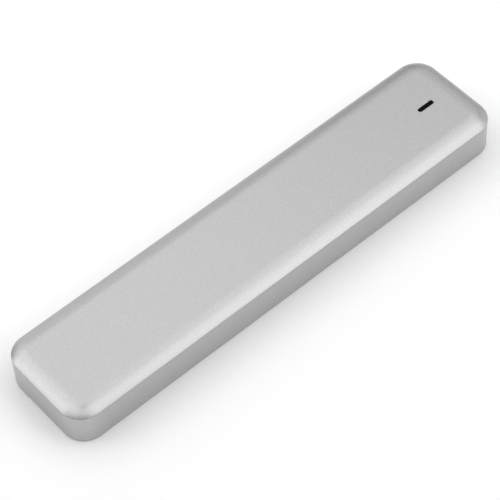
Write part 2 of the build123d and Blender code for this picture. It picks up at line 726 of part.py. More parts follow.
blade_controller = chip_set(
    [(controller_x, 0)], CONTROLLER_SIZE, CONTROLLER_SIZE, PACKAGE_HEIGHT, blade_bottom, -1
)
finish(blade_controller, "blade_controller")

cache_chip = chip_set([(cache_x, 0)], CACHE_LENGTH, CACHE_WIDTH, CACHE_HEIGHT, blade_bottom, -1)
finish(cache_chip, "cache_chip")

blade_power_chip = chip_set([(power_x, 0)], REGULATOR_SIZE, REGULATOR_SIZE, REGULATOR_HEIGHT, blade_bottom, -1)
finish(blade_power_chip, "blade_power_chip")

side_row_y = BLADE_WIDTH / 2 - PART_MARGIN
blade_capacitor_places = [
    (cache_x + step * PART_SPACING, side * side_row_y) for step in (-1, 0, 1) for side in (-1, 1)
]
blade_capacitors = block_set(
    blade_capacitor_places, CAPACITOR_LENGTH, CAPACITOR_WIDTH, CAPACITOR_WIDTH, blade_bottom, -1
)
finish(blade_capacitors, "blade_capacitors")

blade_screw = pan_screws(
    blade_screw_places, blade_bottom, BLADE_HEAD_DIAMETER, BLADE_HEAD_HEIGHT,
    BLADE_SCREW_DIAMETER, BLADE_SCREW_LENGTH,
)
finish(blade_screw, "blade_screw")

# Soft pad that carries the heat of the packages to the base cover
with BuildPart() as thermal_pad:
    with BuildSketch(Plane.XY.offset(base_top)):
        with Locations(((pad_start + pad_end) / 2, 0)):
            Rectangle(pad_end - pad_start, PAD_WIDTH)
    extrude(amount=PAD_THICKNESS)
finish(thermal_pad.part, "thermal_pad")

# Film that keeps the base cover off the socket
with BuildPart() as insulating_film:
    with BuildSketch(Plane.XY.offset(base_top)):
        with Locations(((socket_mouth + socket_back) / 2, 0)):
            Rectangle(FILM_LENGTH, FILM_WIDTH)
    extrude(amount=FILM_THICKNESS)
finish(insulating_film.part, "insulating_film")

bridge_chip = chip_set(
    [(chip_x, 0)], BRIDGE_CHIP_SIZE, BRIDGE_CHIP_SIZE, BRIDGE_CHIP_HEIGHT, board_top, 1
)
finish(bridge_chip, "bridge_chip")

# Clock crystal: a metal lid on a ceramic base
crystal_y = BRIDGE_CHIP_SIZE / 2 + PART_SPACING + CRYSTAL_WIDTH / 2
with BuildPart() as clock_crystal:
    with BuildSketch(Plane.XY.offset(board_top)):
        with Locations((chip_x, crystal_y)):
            Rectangle(CRYSTAL_LENGTH, CRYSTAL_WIDTH)
    extrude(amount=CRYSTAL_HEIGHT / 2)
    with BuildSketch(Plane.XY.offset(board_top + CRYSTAL_HEIGHT / 2)):
        with Locations((chip_x, crystal_y)):
            Rectangle(CRYSTAL_LENGTH - 2 * PACKAGE_EDGE, CRYSTAL_WIDTH - 2 * PACKAGE_EDGE)
    extrude(amount=CRYSTAL_HEIGHT / 2)
finish(clock_crystal.part, "clock_crystal")

# Firmware chip with gull-wing legs, under the board
firmware_y = REGULATOR_SIZE / 2 + PART_SPACING + FIRMWARE_WIDTH / 2
firmware_top = board_bottom - FIRMWARE_STANDOFF
leg_z = firmware_top - FIRMWARE_HEIGHT / 2
leg_foot_z = board_bottom - LEG_THICKNESS / 2
leg_steps = [n - (LEGS_PER_SIDE - 1) / 2 for n in range(LEGS_PER_SIDE)]
with BuildPart() as firmware_chip:
    with BuildSketch(Plane.XY.offset(firmware_top)):
        with Locations((chip_x, firmware_y)):
            Rectangle(FIRMWARE_LENGTH, FIRMWARE_WIDTH)
    extrude(amount=-FIRMWARE_HEIGHT)
    chamfer(firmware_chip.faces().sort_by(Axis.Z)[0].edges(), PACKAGE_EDGE)
    for step in leg_steps:
        for side in (-1, 1):
            root = firmware_y + side * (FIRMWARE_WIDTH / 2 - LEG_THICKNESS)
            knee = firmware_y + side * (FIRMWARE_WIDTH / 2 + LEG_KNEE)
            toe = firmware_y + side * (FIRMWARE_WIDTH / 2 + LEG_REACH)
            with BuildSketch(Plane.YZ.offset(chip_x + step * LEG_PITCH)):
                with BuildLine():
                    Polyline((root, leg_z), (knee, leg_z), (knee, leg_foot_z), (toe, leg_foot_z))
                trace(line_width=LEG_THICKNESS)
    extrude(amount=LEG_WIDTH / 2, both=True)
finish(firmware_chip.part, "firmware_chip")

voltage_regulator = chip_set(
    [(chip_x, 0)], REGULATOR_SIZE, REGULATOR_SIZE, REGULATOR_HEIGHT, board_bottom, -1
)
finish(voltage_regulator, "voltage_regulator")

# Shielded inductor: a square core with cut corners
inductor_y = -REGULATOR_SIZE / 2 - PART_SPACING - INDUCTOR_SIZE / 2
with BuildPart() as power_inductor:
    with BuildSketch(Plane.XY.offset(board_bottom)) as core:
        with Locations((chip_x, inductor_y)):
            Rectangle(INDUCTOR_SIZE, INDUCTOR_SIZE)
        chamfer(core.vertices(), INDUCTOR_CORNER)
    extrude(amount=-INDUCTOR_HEIGHT)
finish(power_inductor.part, "power_inductor")

surge_protector = chip_set([(port_row_x, 0)], SURGE_LENGTH, SURGE_WIDTH, SURGE_HEIGHT, board_top, 1)
finish(surge_protector, "surge_protector")

capacitor_x = chip_x - BRIDGE_CHIP_SIZE / 2 - PART_MARGIN
board_capacitors = block_set(
    [(capacitor_x, step * PART_SPACING) for step in (-2, -1, 0, 1, 2)],
    CAPACITOR_LENGTH, CAPACITOR_WIDTH, CAPACITOR_WIDTH, board_top, 1,
)
finish(board_capacitors, "board_capacitors")

board_resistors = block_set(
    [(chip_x + step * PART_SPACING, -crystal_y) for step in (-1, 0, 1)]
    + [(port_row_x, side * 2 * PART_SPACING) for side in (-1, 1)],
    RESISTOR_LENGTH, RESISTOR_WIDTH, RESISTOR_HEIGHT, board_top, 1,
)
finish(board_resistors, "board_resistors")

print(f"case {case_length:.2f} x {case_width:.2f} x {case_height:.2f}, crown radius {crown_radius:.2f}")
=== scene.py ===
"""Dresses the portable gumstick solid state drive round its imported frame.

The frame is the CAD's: X runs along the case with the port at +X, Z is up, and the case rests on z = 0. Sizes here
are in millimetres, and a mesh turns to metres when its piece is finished.
"""

from __future__ import annotations

import itertools
import logging
import math
from collections.abc import Iterable
from dataclasses import dataclass, field
from enum import Enum

import bmesh
import bpy
from mathutils import Matrix, Vector

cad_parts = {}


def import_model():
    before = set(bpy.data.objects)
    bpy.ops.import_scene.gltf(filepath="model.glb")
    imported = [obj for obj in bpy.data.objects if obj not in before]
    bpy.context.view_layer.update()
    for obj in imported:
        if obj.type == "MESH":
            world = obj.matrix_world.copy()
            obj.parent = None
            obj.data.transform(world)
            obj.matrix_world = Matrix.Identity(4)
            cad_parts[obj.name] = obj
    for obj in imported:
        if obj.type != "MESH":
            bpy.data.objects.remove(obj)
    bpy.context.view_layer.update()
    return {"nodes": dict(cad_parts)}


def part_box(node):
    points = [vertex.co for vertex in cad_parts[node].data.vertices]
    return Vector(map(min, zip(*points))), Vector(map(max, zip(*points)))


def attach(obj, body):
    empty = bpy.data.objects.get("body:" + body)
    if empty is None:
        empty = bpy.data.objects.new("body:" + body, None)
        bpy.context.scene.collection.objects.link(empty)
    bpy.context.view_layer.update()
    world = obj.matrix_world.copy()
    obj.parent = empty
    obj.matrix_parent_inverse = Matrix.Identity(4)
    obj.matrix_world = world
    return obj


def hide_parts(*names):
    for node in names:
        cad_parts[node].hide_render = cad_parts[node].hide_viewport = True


LOG = logging.getLogger("drive")
MM = 0.001
# How far a cutter runs past what it cuts, and how near two points are one, in millimetres.
PAST = 1.0
WELD = 0.0005
# Blender's noise seldom leaves its middle, so the colours and the gloss change between these values of it.
TONE_RANGE = (0.35, 0.65)
GLOSS_RANGE = (0.3, 0.7)
# A Mix node keeps its share and its two colours in these inputs, and its result in this output.
MIX_SHARE, MIX_FIRST, MIX_SECOND, MIX_RESULT = 0, 6, 7, 2

Tree = bpy.types.NodeTree
Node = bpy.types.Node
Socket = bpy.types.NodeSocket
Sockets = bpy.types.bpy_prop_collection
Object = bpy.types.Object
Material = bpy.types.Material
Mesh = bpy.types.Mesh
Spot = tuple[float, float]
Point = tuple[float, float, float]
Ring = list[Vector]
Plan = list[Spot]


def linear(code: str) -> tuple[float, float, float, float]:
    """Turn a colour from its sRGB hex value to the linear one that sockets take.

    Args:
        code: the colour, such as "#A0A0A0".

    Returns:
        Linear red, green and blue, and an alpha of 1.
    """
    channels = []
    for start in (1, 3, 5):
        value = int(code[start:start + 2], 16) / 255
        channels.append(value / 12.92 if value <= 0.04045 else ((value + 0.055) / 1.055) ** 2.4)
    return channels[0], channels[1], channels[2], 1.0


def add_node(tree: Tree, kind: str, feeds: dict[str | int, object] | None = None, **settings: object) -> Node:
    """Add a node with its settings and what feeds its inputs.

    Args:
        tree: the tree that gets the node.
        kind: the node's type name.
        feeds: for each input, by name or number, the output linked to it or its plain value.
        settings: the node's own settings.

    Returns:
        The new node.
    """
    node = tree.nodes.new(kind)
    for name, value in settings.items():
        setattr(node, name, value)
    for key, value in (feeds or {}).items():
        socket = node.inputs[key]
        if isinstance(value, Socket):
            tree.links.new(value, socket)
        else:
            socket.default_value = value
    return node


def work_out(tree: Tree, known: dict[str, Socket | float], steps: Iterable[tuple]) -> None:
    """Write a sum as a chain of nodes, one for each step.

    Args:
        tree: the tree that gets the nodes.
        known: outputs and numbers by name, to which each step adds its own.
        steps: for each step its name, its operation, and its terms by name or number.
    """
    for name, operation, *terms in steps:
        feeds = {place: known[term] if isinstance(term, str) else term for place, term in enumerate(terms)}
        known[name] = add_node(tree, "ShaderNodeMath", feeds, operation=operation).outputs[0]


@dataclass(frozen=True)
class Finish:
    """A surface with a fine grain in its colour, gloss and height.

    Args:
        name: what the real material is and how its surface was made.
        dark: the darker of the two colours that the grain runs between.
        light: the lighter one.
        rough: lowest and highest roughness.
        grain: width of one grain, in millimetres.
        relief: height of the grain, in millimetres.
        settings: values set on the shader's own sockets.
    """

    name: str
    dark: str
    light: str
    rough: tuple[float, float]
    grain: float
    relief: float
    settings: tuple[tuple[str, float], ...] = ()

    def make(self) -> Material:
        """Build the material when it is first asked for.

        Returns:
            The material, which is the same one at each call.
        """
        material = bpy.data.materials.get(self.name)
        if material:
            return material
        material = bpy.data.materials.new(self.name)
        material.use_nodes = True
        tree = material.node_tree
        tree.nodes.clear()
        place = add_node(tree, "ShaderNodeTexCoord").outputs["Object"]
        grain = add_node(
            tree, "ShaderNodeTexNoise",
            {"Vector": place, "Scale": 1 / (self.grain * MM), "Detail": 2.0, "Roughness": 0.55},
        ).outputs["Fac"]
        tone = self.tone(tree, place, grain)
        height = self.height(tree, place, grain)
        limits = zip(("From Min", "From Max", "To Min", "To Max"), (*GLOSS_RANGE, *self.rough))
        rough = add_node(tree, "ShaderNodeMapRange", {"Value": grain, **dict(limits)}).outputs["Result"]
        bump = add_node(
            tree, "ShaderNodeBump", {"Strength": 1.0, "Distance": self.relief * MM, "Height": height}
        ).outputs["Normal"]
        shader = add_node(
            tree, "ShaderNodeBsdfPrincipled", {"Base Color": tone, "Roughness": rough, "Normal": bump}
        )
        for socket, value in self.settings:
            shader.inputs[socket].default_value = value
        self.extra(shader)
        add_node(tree, "ShaderNodeOutputMaterial", {"Surface": shader.outputs["BSDF"]})
        return material

    def tone(self, tree: Tree, place: Socket, grain: Socket) -> Socket:
        """Colour the surface from dark to light with the grain.

        Args:
            tree: the material's tree.
            place: where each point is.
            grain: the grain there.

        Returns:
            The colour.
        """
        ramp = add_node(tree, "ShaderNodeValToRGB", {"Fac": grain})
        for stop, position, colour in zip(ramp.color_ramp.elements, TONE_RANGE, (self.dark, self.light)):
            stop.position, stop.color = position, linear(colour)
        return ramp.outputs["Color"]

    def height(self, tree: Tree, place: Socket, grain: Socket) -> Socket:
        """Height that the bump follows."""
        return grain

    def extra(self, shader: Node) -> None:
        """Settings that only one finish needs."""


@dataclass(frozen=True)
class Metal(Finish):
    """A bare or coated metal, whose colour is what it reflects."""

    def extra(self, shader: Node) -> None:
        """Make the shader a metal."""
        shader.inputs["Metallic"].default_value = 1.0


@dataclass(frozen=True)
class TurnedMetal(Metal):
    """A turned metal, with fine rings about each piece's own axis.

    Args:
        ring_width: distance from ring to ring, in millimetres.
        ring_height: height of the rings, as a share of the grain's.
    """

    ring_width: float = 0.12
    ring_height: float = 0.35

    def height(self, tree: Tree, place: Socket, grain: Socket) -> Socket:
        """Add the grain to the turning tool's rings.

        Args:
            tree: the material's tree.
            place: where each point is.
            grain: the grain there.

        Returns:
            The height that the bump follows.
        """
        axis = add_node(tree, "ShaderNodeAttribute", attribute_name="from_axis").outputs["Fac"]
        known = {"axis": axis, "grain": grain}
        work_out(tree, known, (
            ("turns", "MULTIPLY", "axis", 2 * math.pi / self.ring_width),
            ("wave", "SINE", "turns"),
            ("height", "MULTIPLY_ADD", "wave", self.ring_height, "grain"),
        ))
        return known["height"]


@dataclass(frozen=True)
class Rolled(Metal):
    """A sheet metal, with faint lines along the way it was rolled.

    Args:
        stretch: how much the grain is packed along each axis, which draws it out into lines along X.
    """

    stretch: Point = (0.06, 1.0, 1.0)

    def height(self, tree: Tree, place: Socket, grain: Socket) -> Socket:
        """Draw the grain out into lines.

        Args:
            tree: the material's tree.
            place: where each point is.
            grain: the grain there.

        Returns:
            The height that the bump follows.
        """
        drawn = add_node(tree, "ShaderNodeMapping", {"Vector": place, "Scale": self.stretch}).outputs["Vector"]
        return add_node(
            tree, "ShaderNodeTexNoise", {"Vector": drawn, "Scale": 1 / (self.grain * MM), "Detail": 1.0}
        ).outputs["Fac"]


@dataclass(frozen=True)
class CircuitBoard(Finish):
    """A laminated board: lacquer over copper areas on both faces, and bare laminate round the edge.

    Args:
        edge: the laminate's colour.
        cell: size of one nest of tracks, in millimetres.
        track: distance from track to track, in millimetres.
        gap: share of that distance that has no copper.
    """

    edge: str = "#A3965F"
    cell: float = 3.4
    track: float = 0.55
    gap: float = 0.45

    def copper(self, tree: Tree, place: Socket) -> Socket:
        """Draw nested square tracks round the centre of each cell.

        Args:
            tree: the material's tree.
            place: where each point is.

        Returns:
            The share of copper, 0 or 1.
        """
        distance = add_node(
            tree, "ShaderNodeTexVoronoi", {"Vector": place, "Scale": 1 / (self.cell * MM)}, distance="CHEBYCHEV"
        ).outputs["Distance"]
        known = {"distance": distance}
        work_out(tree, known, (
            ("tracks", "MULTIPLY", "distance", self.cell / self.track),
            ("share", "FRACT", "tracks"),
            ("copper", "GREATER_THAN", "share", self.gap),
        ))
        return known["copper"]

    def tone(self, tree: Tree, place: Socket, grain: Socket) -> Socket:
        """Lighten the lacquer over copper, and show laminate on the cut edges, which are the upright faces.

        Args:
            tree: the material's tree.
            place: where each point is.
            grain: the grain there.

        Returns:
            The colour.
        """
        copper, dark, light = self.copper(tree, place), linear(self.dark), linear(self.light)
        lacquer = add_node(
            tree, "ShaderNodeMix", {MIX_SHARE: copper, MIX_FIRST: dark, MIX_SECOND: light}, data_type="RGBA"
        ).outputs[MIX_RESULT]
        normal = add_node(tree, "ShaderNodeNewGeometry").outputs["Normal"]
        known = {"up": add_node(tree, "ShaderNodeSeparateXYZ", {"Vector": normal}).outputs["Z"]}
        work_out(tree, known, (("flat", "ABSOLUTE", "up"), ("face", "GREATER_THAN", "flat", 0.5)))
        feeds = {MIX_SHARE: known["face"], MIX_FIRST: linear(self.edge), MIX_SECOND: lacquer}
        return add_node(tree, "ShaderNodeMix", feeds, data_type="RGBA").outputs[MIX_RESULT]

    def height(self, tree: Tree, place: Socket, grain: Socket) -> Socket:
        """Copper that stands up under the lacquer."""
        return self.copper(tree, place)


@dataclass(frozen=True)
class Leaded(Finish):
    """A small part whose ends or legs are plated, as its mesh's attribute says."""

    plating: str = "#B4B2AC"

    def tone(self, tree: Tree, place: Socket, grain: Socket) -> Socket:
        """Give the body its colour, and the plating's where the mesh says so.

        Args:
            tree: the material's tree.
            place: where each point is.
            grain: the grain there.

        Returns:
            The colour.
        """
        body = super().tone(tree, place, grain)
        plated = add_node(tree, "ShaderNodeAttribute", attribute_name="plated").outputs["Fac"]
        feeds = {MIX_SHARE: plated, MIX_FIRST: body, MIX_SECOND: linear(self.plating)}
        return add_node(tree, "ShaderNodeMix", feeds, data_type="RGBA").outputs[MIX_RESULT]

    def extra(self, shader: Node) -> None:
        """Make the plated places metal.

        Args:
            shader: the material's shader.
        """
        tree = shader.id_data
        plated = add_node(tree, "ShaderNodeAttribute", attribute_name="plated").outputs["Fac"]
        tree.links.new(plated, shader.inputs["Metallic"])


# Each grain is as wide as the real one, or where that is too fine to show, as a close view needs.
# Bead blasting leaves dimples of about 0.1 mm. They are drawn at 0.42 mm, about two pixels, so that they show.
# Clear anodising keeps the metal's grey and makes it an even satin.
HOUSING_FINISH = Metal("anodised aluminium, bead blasted", "#B8B8B8", "#C1C1C1", (0.36, 0.44), 0.42, 0.007)
# The same metal as sheet, pressed flat before a finer blast, so that it is a shade darker and smoother.
COVER_FINISH = Metal("anodised aluminium sheet, fine blasted", "#B0B0B0", "#B8B8B8", (0.34, 0.42), 0.28, 0.003)
# Nickel plating is warmer than aluminium, and the turning tool's rings show round each head.
SCREW_FINISH = TurnedMetal("nickel-plated steel, turned", "#8E8A84", "#A7A39C", (0.22, 0.34), 0.20, 0.003)
# Smoked plastic that lets the lamp through but looks black while it is off. Its matt mould leaves hardly a gleam.
WINDOW_FINISH = Finish(
    "smoked polycarbonate, matt moulded", "#050506", "#08080A", (0.45, 0.6), 0.2, 0.001,
    (("Specular IOR Level", 0.06),),
)
# Epoxy over a pale ceramic looks milky and a little yellow, with the wet gloss of a casting.
LAMP_FINISH = Finish(
    "clear epoxy lens on a ceramic base, cast", "#D8D3C2", "#ECE8DA", (0.15, 0.28), 0.15, 0.001,
    (("Subsurface Weight", 0.3), ("Subsurface Scale", 0.0004)),
)
# A glossy green film, lighter and raised where copper lies under it, round an edge of straw-coloured laminate.
# Real tracks are about 0.15 mm wide. They are drawn at twice that, so that they show.
BOARD_FINISH = CircuitBoard(
    "glass epoxy laminate, lacquered", "#08301F", "#0F4A2E", (0.28, 0.4), 0.25, 0.02, (("Coat Weight", 0.3),)
)
# The mould's matt face leaves the filled epoxy nearly black and evenly dull.
PACKAGE_FINISH = Finish("epoxy package, transfer moulded", "#131314", "#1E1E20", (0.5, 0.66), 0.14, 0.003)
# Rolling leaves a bright sheet with faint lines along one way.
LID_FINISH = Rolled("nickel-plated lid, rolled", "#A8A49B", "#BDB9B0", (0.24, 0.36), 0.2, 0.002)
# Pressed powder stays grainy when it is fired, a dark grey without gloss.
CORE_FINISH = Finish("ferrite powder, pressed and fired", "#232326", "#3B3B3F", (0.55, 0.75), 0.12, 0.006)
# Firing leaves an even tan with a low sheen, between bright ends.
CAPACITOR_FINISH = Leaded("layered ceramic with tinned ends, fired", "#9A7B58", "#B08F69", (0.35, 0.5), 0.1, 0.002)
# A glassy black film covers the ceramic, between bright ends.
RESISTOR_FINISH = Leaded("thick film on ceramic with tinned ends", "#17171A", "#242428", (0.3, 0.42), 0.1, 0.002)
# The large packages' epoxy out of a smoother mould, with legs that shine.
LEGGED_FINISH = Leaded("epoxy package with tinned legs, moulded", "#131314", "#1E1E20", (0.4, 0.6), 0.14, 0.002)
# Stainless steel is bright and cool, with the sheet's rolling lines.
SHELL_FINISH = Rolled("stainless steel sheet, folded", "#A6A5A3", "#BBBAB7", (0.2, 0.32), 0.22, 0.002)
# Glass fibres at the surface break up the gloss of the black moulding.
INSULATOR_FINISH = Finish(
    "glass-filled polymer, injection moulded", "#0F0F11", "#1B1B1E", (0.4, 0.55), 0.12, 0.002
)
# Thin gold on a stamped strip is a deep yellow with a mirror's gloss and little grain.
GOLD_FINISH = Metal("gold plate on phosphor bronze, stamped", "#D2A04A", "#E3B766", (0.18, 0.3), 0.12, 0.001)
# The filler makes the silicone chalky, dull and a little uneven.
PAD_FINISH = Finish("silicone pad with ceramic filler, cast", "#7C8FA0", "#93A5B3", (0.7, 0.85), 0.3, 0.012)
# Cast film is amber and glossy, and clear enough to show the metal under it.
FILM_FINISH = Finish(
    "polyimide film, cast", "#9C5210", "#B8681C", (0.12, 0.2), 0.5, 0.001,
    (("Transmission Weight", 0.3), ("IOR", 1.7)),
)


def in_scene(name: str, data: bpy.types.ID) -> Object:
    """Put something into the scene.

    Args:
        name: the object's name.
        data: what it holds, such as a mesh.

    Returns:
        The object.
    """
    item = bpy.data.objects.new(name, data)
    bpy.context.scene.collection.objects.link(item)
    return item


class ShapeTree:
    """A Geometry Nodes tree with named inputs whose result is taken as a plain mesh."""

    NAME = ""
    INPUTS: tuple[tuple[str, str], ...] = ()

    def __init__(self) -> None:
        """Build the tree, from its named inputs to the nodes that make it real and dress it."""
        tree = bpy.data.node_groups.new(self.NAME, "GeometryNodeTree")
        tree.is_modifier = True
        tree.interface.new_socket("Geometry", in_out="INPUT", socket_type="NodeSocketGeometry")
        tree.interface.new_socket("Geometry", in_out="OUTPUT", socket_type="NodeSocketGeometry")
        self.sockets = {
            label: tree.interface.new_socket(label, in_out="INPUT", socket_type=kind).identifier
            for label, kind in (*self.INPUTS, ("Material", "NodeSocketMaterial"))
        }
        self.tree = tree
        entry = add_node(tree, "NodeGroupInput")
        shape = self.shape(tree, entry.outputs)
        real = add_node(tree, "GeometryNodeRealizeInstances", {"Geometry": shape}).outputs["Geometry"]
        dressed = add_node(
            tree, "GeometryNodeSetMaterial", {"Geometry": real, "Material": entry.outputs["Material"]}
        ).outputs["Geometry"]
        add_node(tree, "NodeGroupOutput", {"Geometry": dressed})

    def shape(self, tree: Tree, entry: Sockets) -> Socket:
        """The tree's own nodes, from its inputs to its geometry."""
        raise NotImplementedError

    def mesh(self, start: Mesh | None = None, **values: object) -> Mesh:
        """Run the tree and take its result.

        Args:
            start: the geometry that goes in, such as the places of screws.
            values: the inputs by name, with an underscore for a space.

        Returns:
            A plain mesh that no modifier is needed for.
        """
        work = in_scene("work", start or bpy.data.meshes.new("start"))
        modifier = work.modifiers.new("shape", "NODES")
        modifier.node_group = self.tree
        for label, value in values.items():
            modifier[self.sockets[label.replace("_", " ")]] = value
        return settle(work)


def settle(work: Object) -> Mesh:
    """Take an object's shape with its modifiers, and remove the object.

    Args:
        work: the object.

    Returns:
        Its shape, as a plain mesh.
    """
    work.update_tag()
    bpy.context.view_layer.update()
    graph = bpy.context.evaluated_depsgraph_get()
    shown = work.evaluated_get(graph)
    mesh = bpy.data.meshes.new_from_object(shown, preserve_all_data_layers=True, depsgraph=graph)
    bpy.data.objects.remove(work)
    return mesh


class CrownedForm(ShapeTree):
    """A crowned profile carried round a rounded rectangle and closed above and below."""

    NAME = "crowned_form"
    FLOAT = "NodeSocketFloat"
    INPUTS = (
        ("Length", FLOAT), ("Width", FLOAT), ("Corner", FLOAT), ("Bottom", FLOAT), ("Foot", FLOAT), ("Top", FLOAT),
        ("Crown Width", FLOAT), ("Crown Radius", FLOAT), ("Crease Radius", FLOAT),
        ("Corner Steps", "NodeSocketInt"), ("Crease Steps", "NodeSocketInt"), ("Crown Steps", "NodeSocketInt"),
    )

    def profile(self, tree: Tree, known: dict[str, Socket | float]) -> Socket:
        """Draw the profile: how far in from the wall and how high each of its points is.

        Args:
            tree: the tree that gets the nodes.
            known: the inputs by name, to which each step adds its own.

        Returns:
            A line whose points hold those two numbers as X and Y of "profile".
        """
        known["index"] = add_node(tree, "GeometryNodeInputIndex").outputs["Index"]
        # The crease is an arc that touches the wall and the crown's arc, and both arcs are walked by index.
        work_out(tree, known, (
            ("reach", "SUBTRACT", "Crown Width", "Crease Radius"),
            ("arm", "SUBTRACT", "Crown Radius", "Crease Radius"),
            ("ratio", "DIVIDE", "reach", "arm"),
            ("sweep", "ARCSINE", "ratio"),
            ("crown middle", "SUBTRACT", "Top", "Crown Radius"),
            ("sweep cosine", "COSINE", "sweep"),
            ("crease middle", "MULTIPLY_ADD", "arm", "sweep cosine", "crown middle"),
            ("crease turn", "SUBTRACT", math.pi / 2, "sweep"),
            ("past wall", "SUBTRACT", "index", 2.0),
            ("crease share", "DIVIDE", "past wall", "Crease Steps"),
            ("crease back", "MULTIPLY", "crease share", "crease turn"),
            ("crease angle", "SUBTRACT", math.pi / 2, "crease back"),
            ("crease sine", "SINE", "crease angle"),
            ("crease cosine", "COSINE", "crease angle"),
            ("crease in", "SUBTRACT", 1.0, "crease sine"),
            ("crease offset", "MULTIPLY", "crease in", "Crease Radius"),
            ("crease height", "MULTIPLY_ADD", "crease cosine", "Crease Radius", "crease middle"),
            ("past crease", "SUBTRACT", "past wall", "Crease Steps"),
            ("crown share", "DIVIDE", "past crease", "Crown Steps"),
            ("crown left", "SUBTRACT", 1.0, "crown share"),
            ("crown angle", "MULTIPLY", "crown left", "sweep"),
            ("crown sine", "SINE", "crown angle"),
            ("crown cosine", "COSINE", "crown angle"),
            ("crown in", "MULTIPLY", "crown sine", "Crown Radius"),
            ("crown offset", "SUBTRACT", "Crown Width", "crown in"),
            ("crown height", "MULTIPLY_ADD", "crown cosine", "Crown Radius", "crown middle"),
            ("foot top", "ADD", "Bottom", "Foot"),
            ("on crown", "GREATER_THAN", "past crease", 0.5),
            ("on foot", "LESS_THAN", "index", 0.5),
            ("on wall", "LESS_THAN", "index", 1.5),
            ("arcs", "ADD", "Crease Steps", "Crown Steps"),
            ("points", "ADD", "arcs", 3.0),
        ))
        for part, on_wall, on_foot in (("offset", 0.0, "Foot"), ("height", known["foot top"], "Bottom")):
            value = known[f"crease {part}"]
            for test, other in (
                ("on crown", known[f"crown {part}"]), ("on wall", on_wall), ("on foot", known[on_foot])
            ):
                feeds = {"Switch": known[test], "False": value, "True": other}
                value = add_node(tree, "GeometryNodeSwitch", feeds, input_type="FLOAT").outputs["Output"]
            known[part] = value
        feeds = {"X": known["offset"], "Y": known["height"]}
        drawn = add_node(tree, "ShaderNodeCombineXYZ", feeds).outputs["Vector"]
        line = add_node(tree, "GeometryNodeCurvePrimitiveLine").outputs["Curve"]
        feeds = {"Curve": line, "Count": known["points"]}
        divided = add_node(tree, "GeometryNodeResampleCurve", feeds).outputs["Curve"]
        return add_node(
            tree, "GeometryNodeStoreNamedAttribute",
            {"Geometry": divided, "Name": "profile", "Value": drawn}, data_type="FLOAT_VECTOR", domain="POINT",
        ).outputs["Geometry"]

    def shape(self, tree: Tree, entry: Sockets) -> Socket:
        """Draw the skin between ring and profile and the two flat ends, and put each point in its place.

        Args:
            tree: the tree that gets the nodes.
            entry: the tree's inputs.

        Returns:
            The whole form.
        """
        known = {label: entry[label] for label, _ in self.INPUTS}
        profile = self.profile(tree, known)
        plan = add_node(
            tree, "GeometryNodeCurvePrimitiveQuadrilateral", {"Width": known["Length"], "Height": known["Width"]}
        ).outputs["Curve"]
        ring = add_node(
            tree, "GeometryNodeFilletCurve",
            {"Curve": plan, "Count": known["Corner Steps"], "Radius": known["Corner"]}, mode="POLY",
        ).outputs["Curve"]
        spot = add_node(tree, "GeometryNodeInputPosition").outputs["Position"]
        ring = add_node(
            tree, "GeometryNodeStoreNamedAttribute",
            {"Geometry": ring, "Name": "ring", "Value": spot}, data_type="FLOAT_VECTOR", domain="POINT",
        ).outputs["Geometry"]
        feeds = {"Curve": ring, "Profile Curve": profile}
        swept = add_node(tree, "GeometryNodeCurveToMesh", feeds).outputs["Mesh"]
        pieces = [add_node(tree, "GeometryNodeFlipFaces", {"Mesh": swept}).outputs["Mesh"]]
        flat = add_node(tree, "GeometryNodeFillCurve", {"Curve": ring}, mode="NGONS").outputs["Mesh"]
        for offset, height, turned in (("Foot", "Bottom", True), ("Crown Width", "Top", False)):
            end = add_node(tree, "GeometryNodeFlipFaces", {"Mesh": flat}).outputs["Mesh"] if turned else flat
            feeds = {"X": known[offset], "Y": known[height]}
            level = add_node(tree, "ShaderNodeCombineXYZ", feeds).outputs["Vector"]
            for name, value in (("ring", spot), ("profile", level)):
                end = add_node(
                    tree, "GeometryNodeStoreNamedAttribute",
                    {"Geometry": end, "Name": name, "Value": value}, data_type="FLOAT_VECTOR", domain="POINT",
                ).outputs["Geometry"]
            pieces.append(end)
        joined = add_node(tree, "GeometryNodeJoinGeometry")
        for piece in reversed(pieces):
            tree.links.new(piece, joined.inputs["Geometry"])
        shaped = self.placed(tree, known, joined.outputs["Geometry"])
        for name in ("ring", "profile"):
            feeds = {"Geometry": shaped, "Name": name}
            shaped = add_node(tree, "GeometryNodeRemoveAttribute", feeds).outputs["Geometry"]
        feeds = {"Geometry": shaped, "Distance": WELD}
        return add_node(tree, "GeometryNodeMergeByDistance", feeds).outputs["Geometry"]

    def placed(self, tree: Tree, known: dict[str, Socket | float], geometry: Socket) -> Socket:
        """Put each point where its place on the ring and on the profile says.

        Args:
            tree: the tree that gets the nodes.
            known: the inputs by name, to which each step adds its own.
            geometry: the points, which hold those places.

        Returns:
            The same points, moved.
        """
        stored = {
            name: add_node(
                tree, "ShaderNodeSeparateXYZ",
                {"Vector": add_node(
                    tree, "GeometryNodeInputNamedAttribute", {"Name": name}, data_type="FLOAT_VECTOR"
                ).outputs["Attribute"]},
            ).outputs
            for name in ("ring", "profile")
        }
        known.update({"ring X": stored["ring"]["X"], "ring Y": stored["ring"]["Y"], "in": stored["profile"]["X"]})
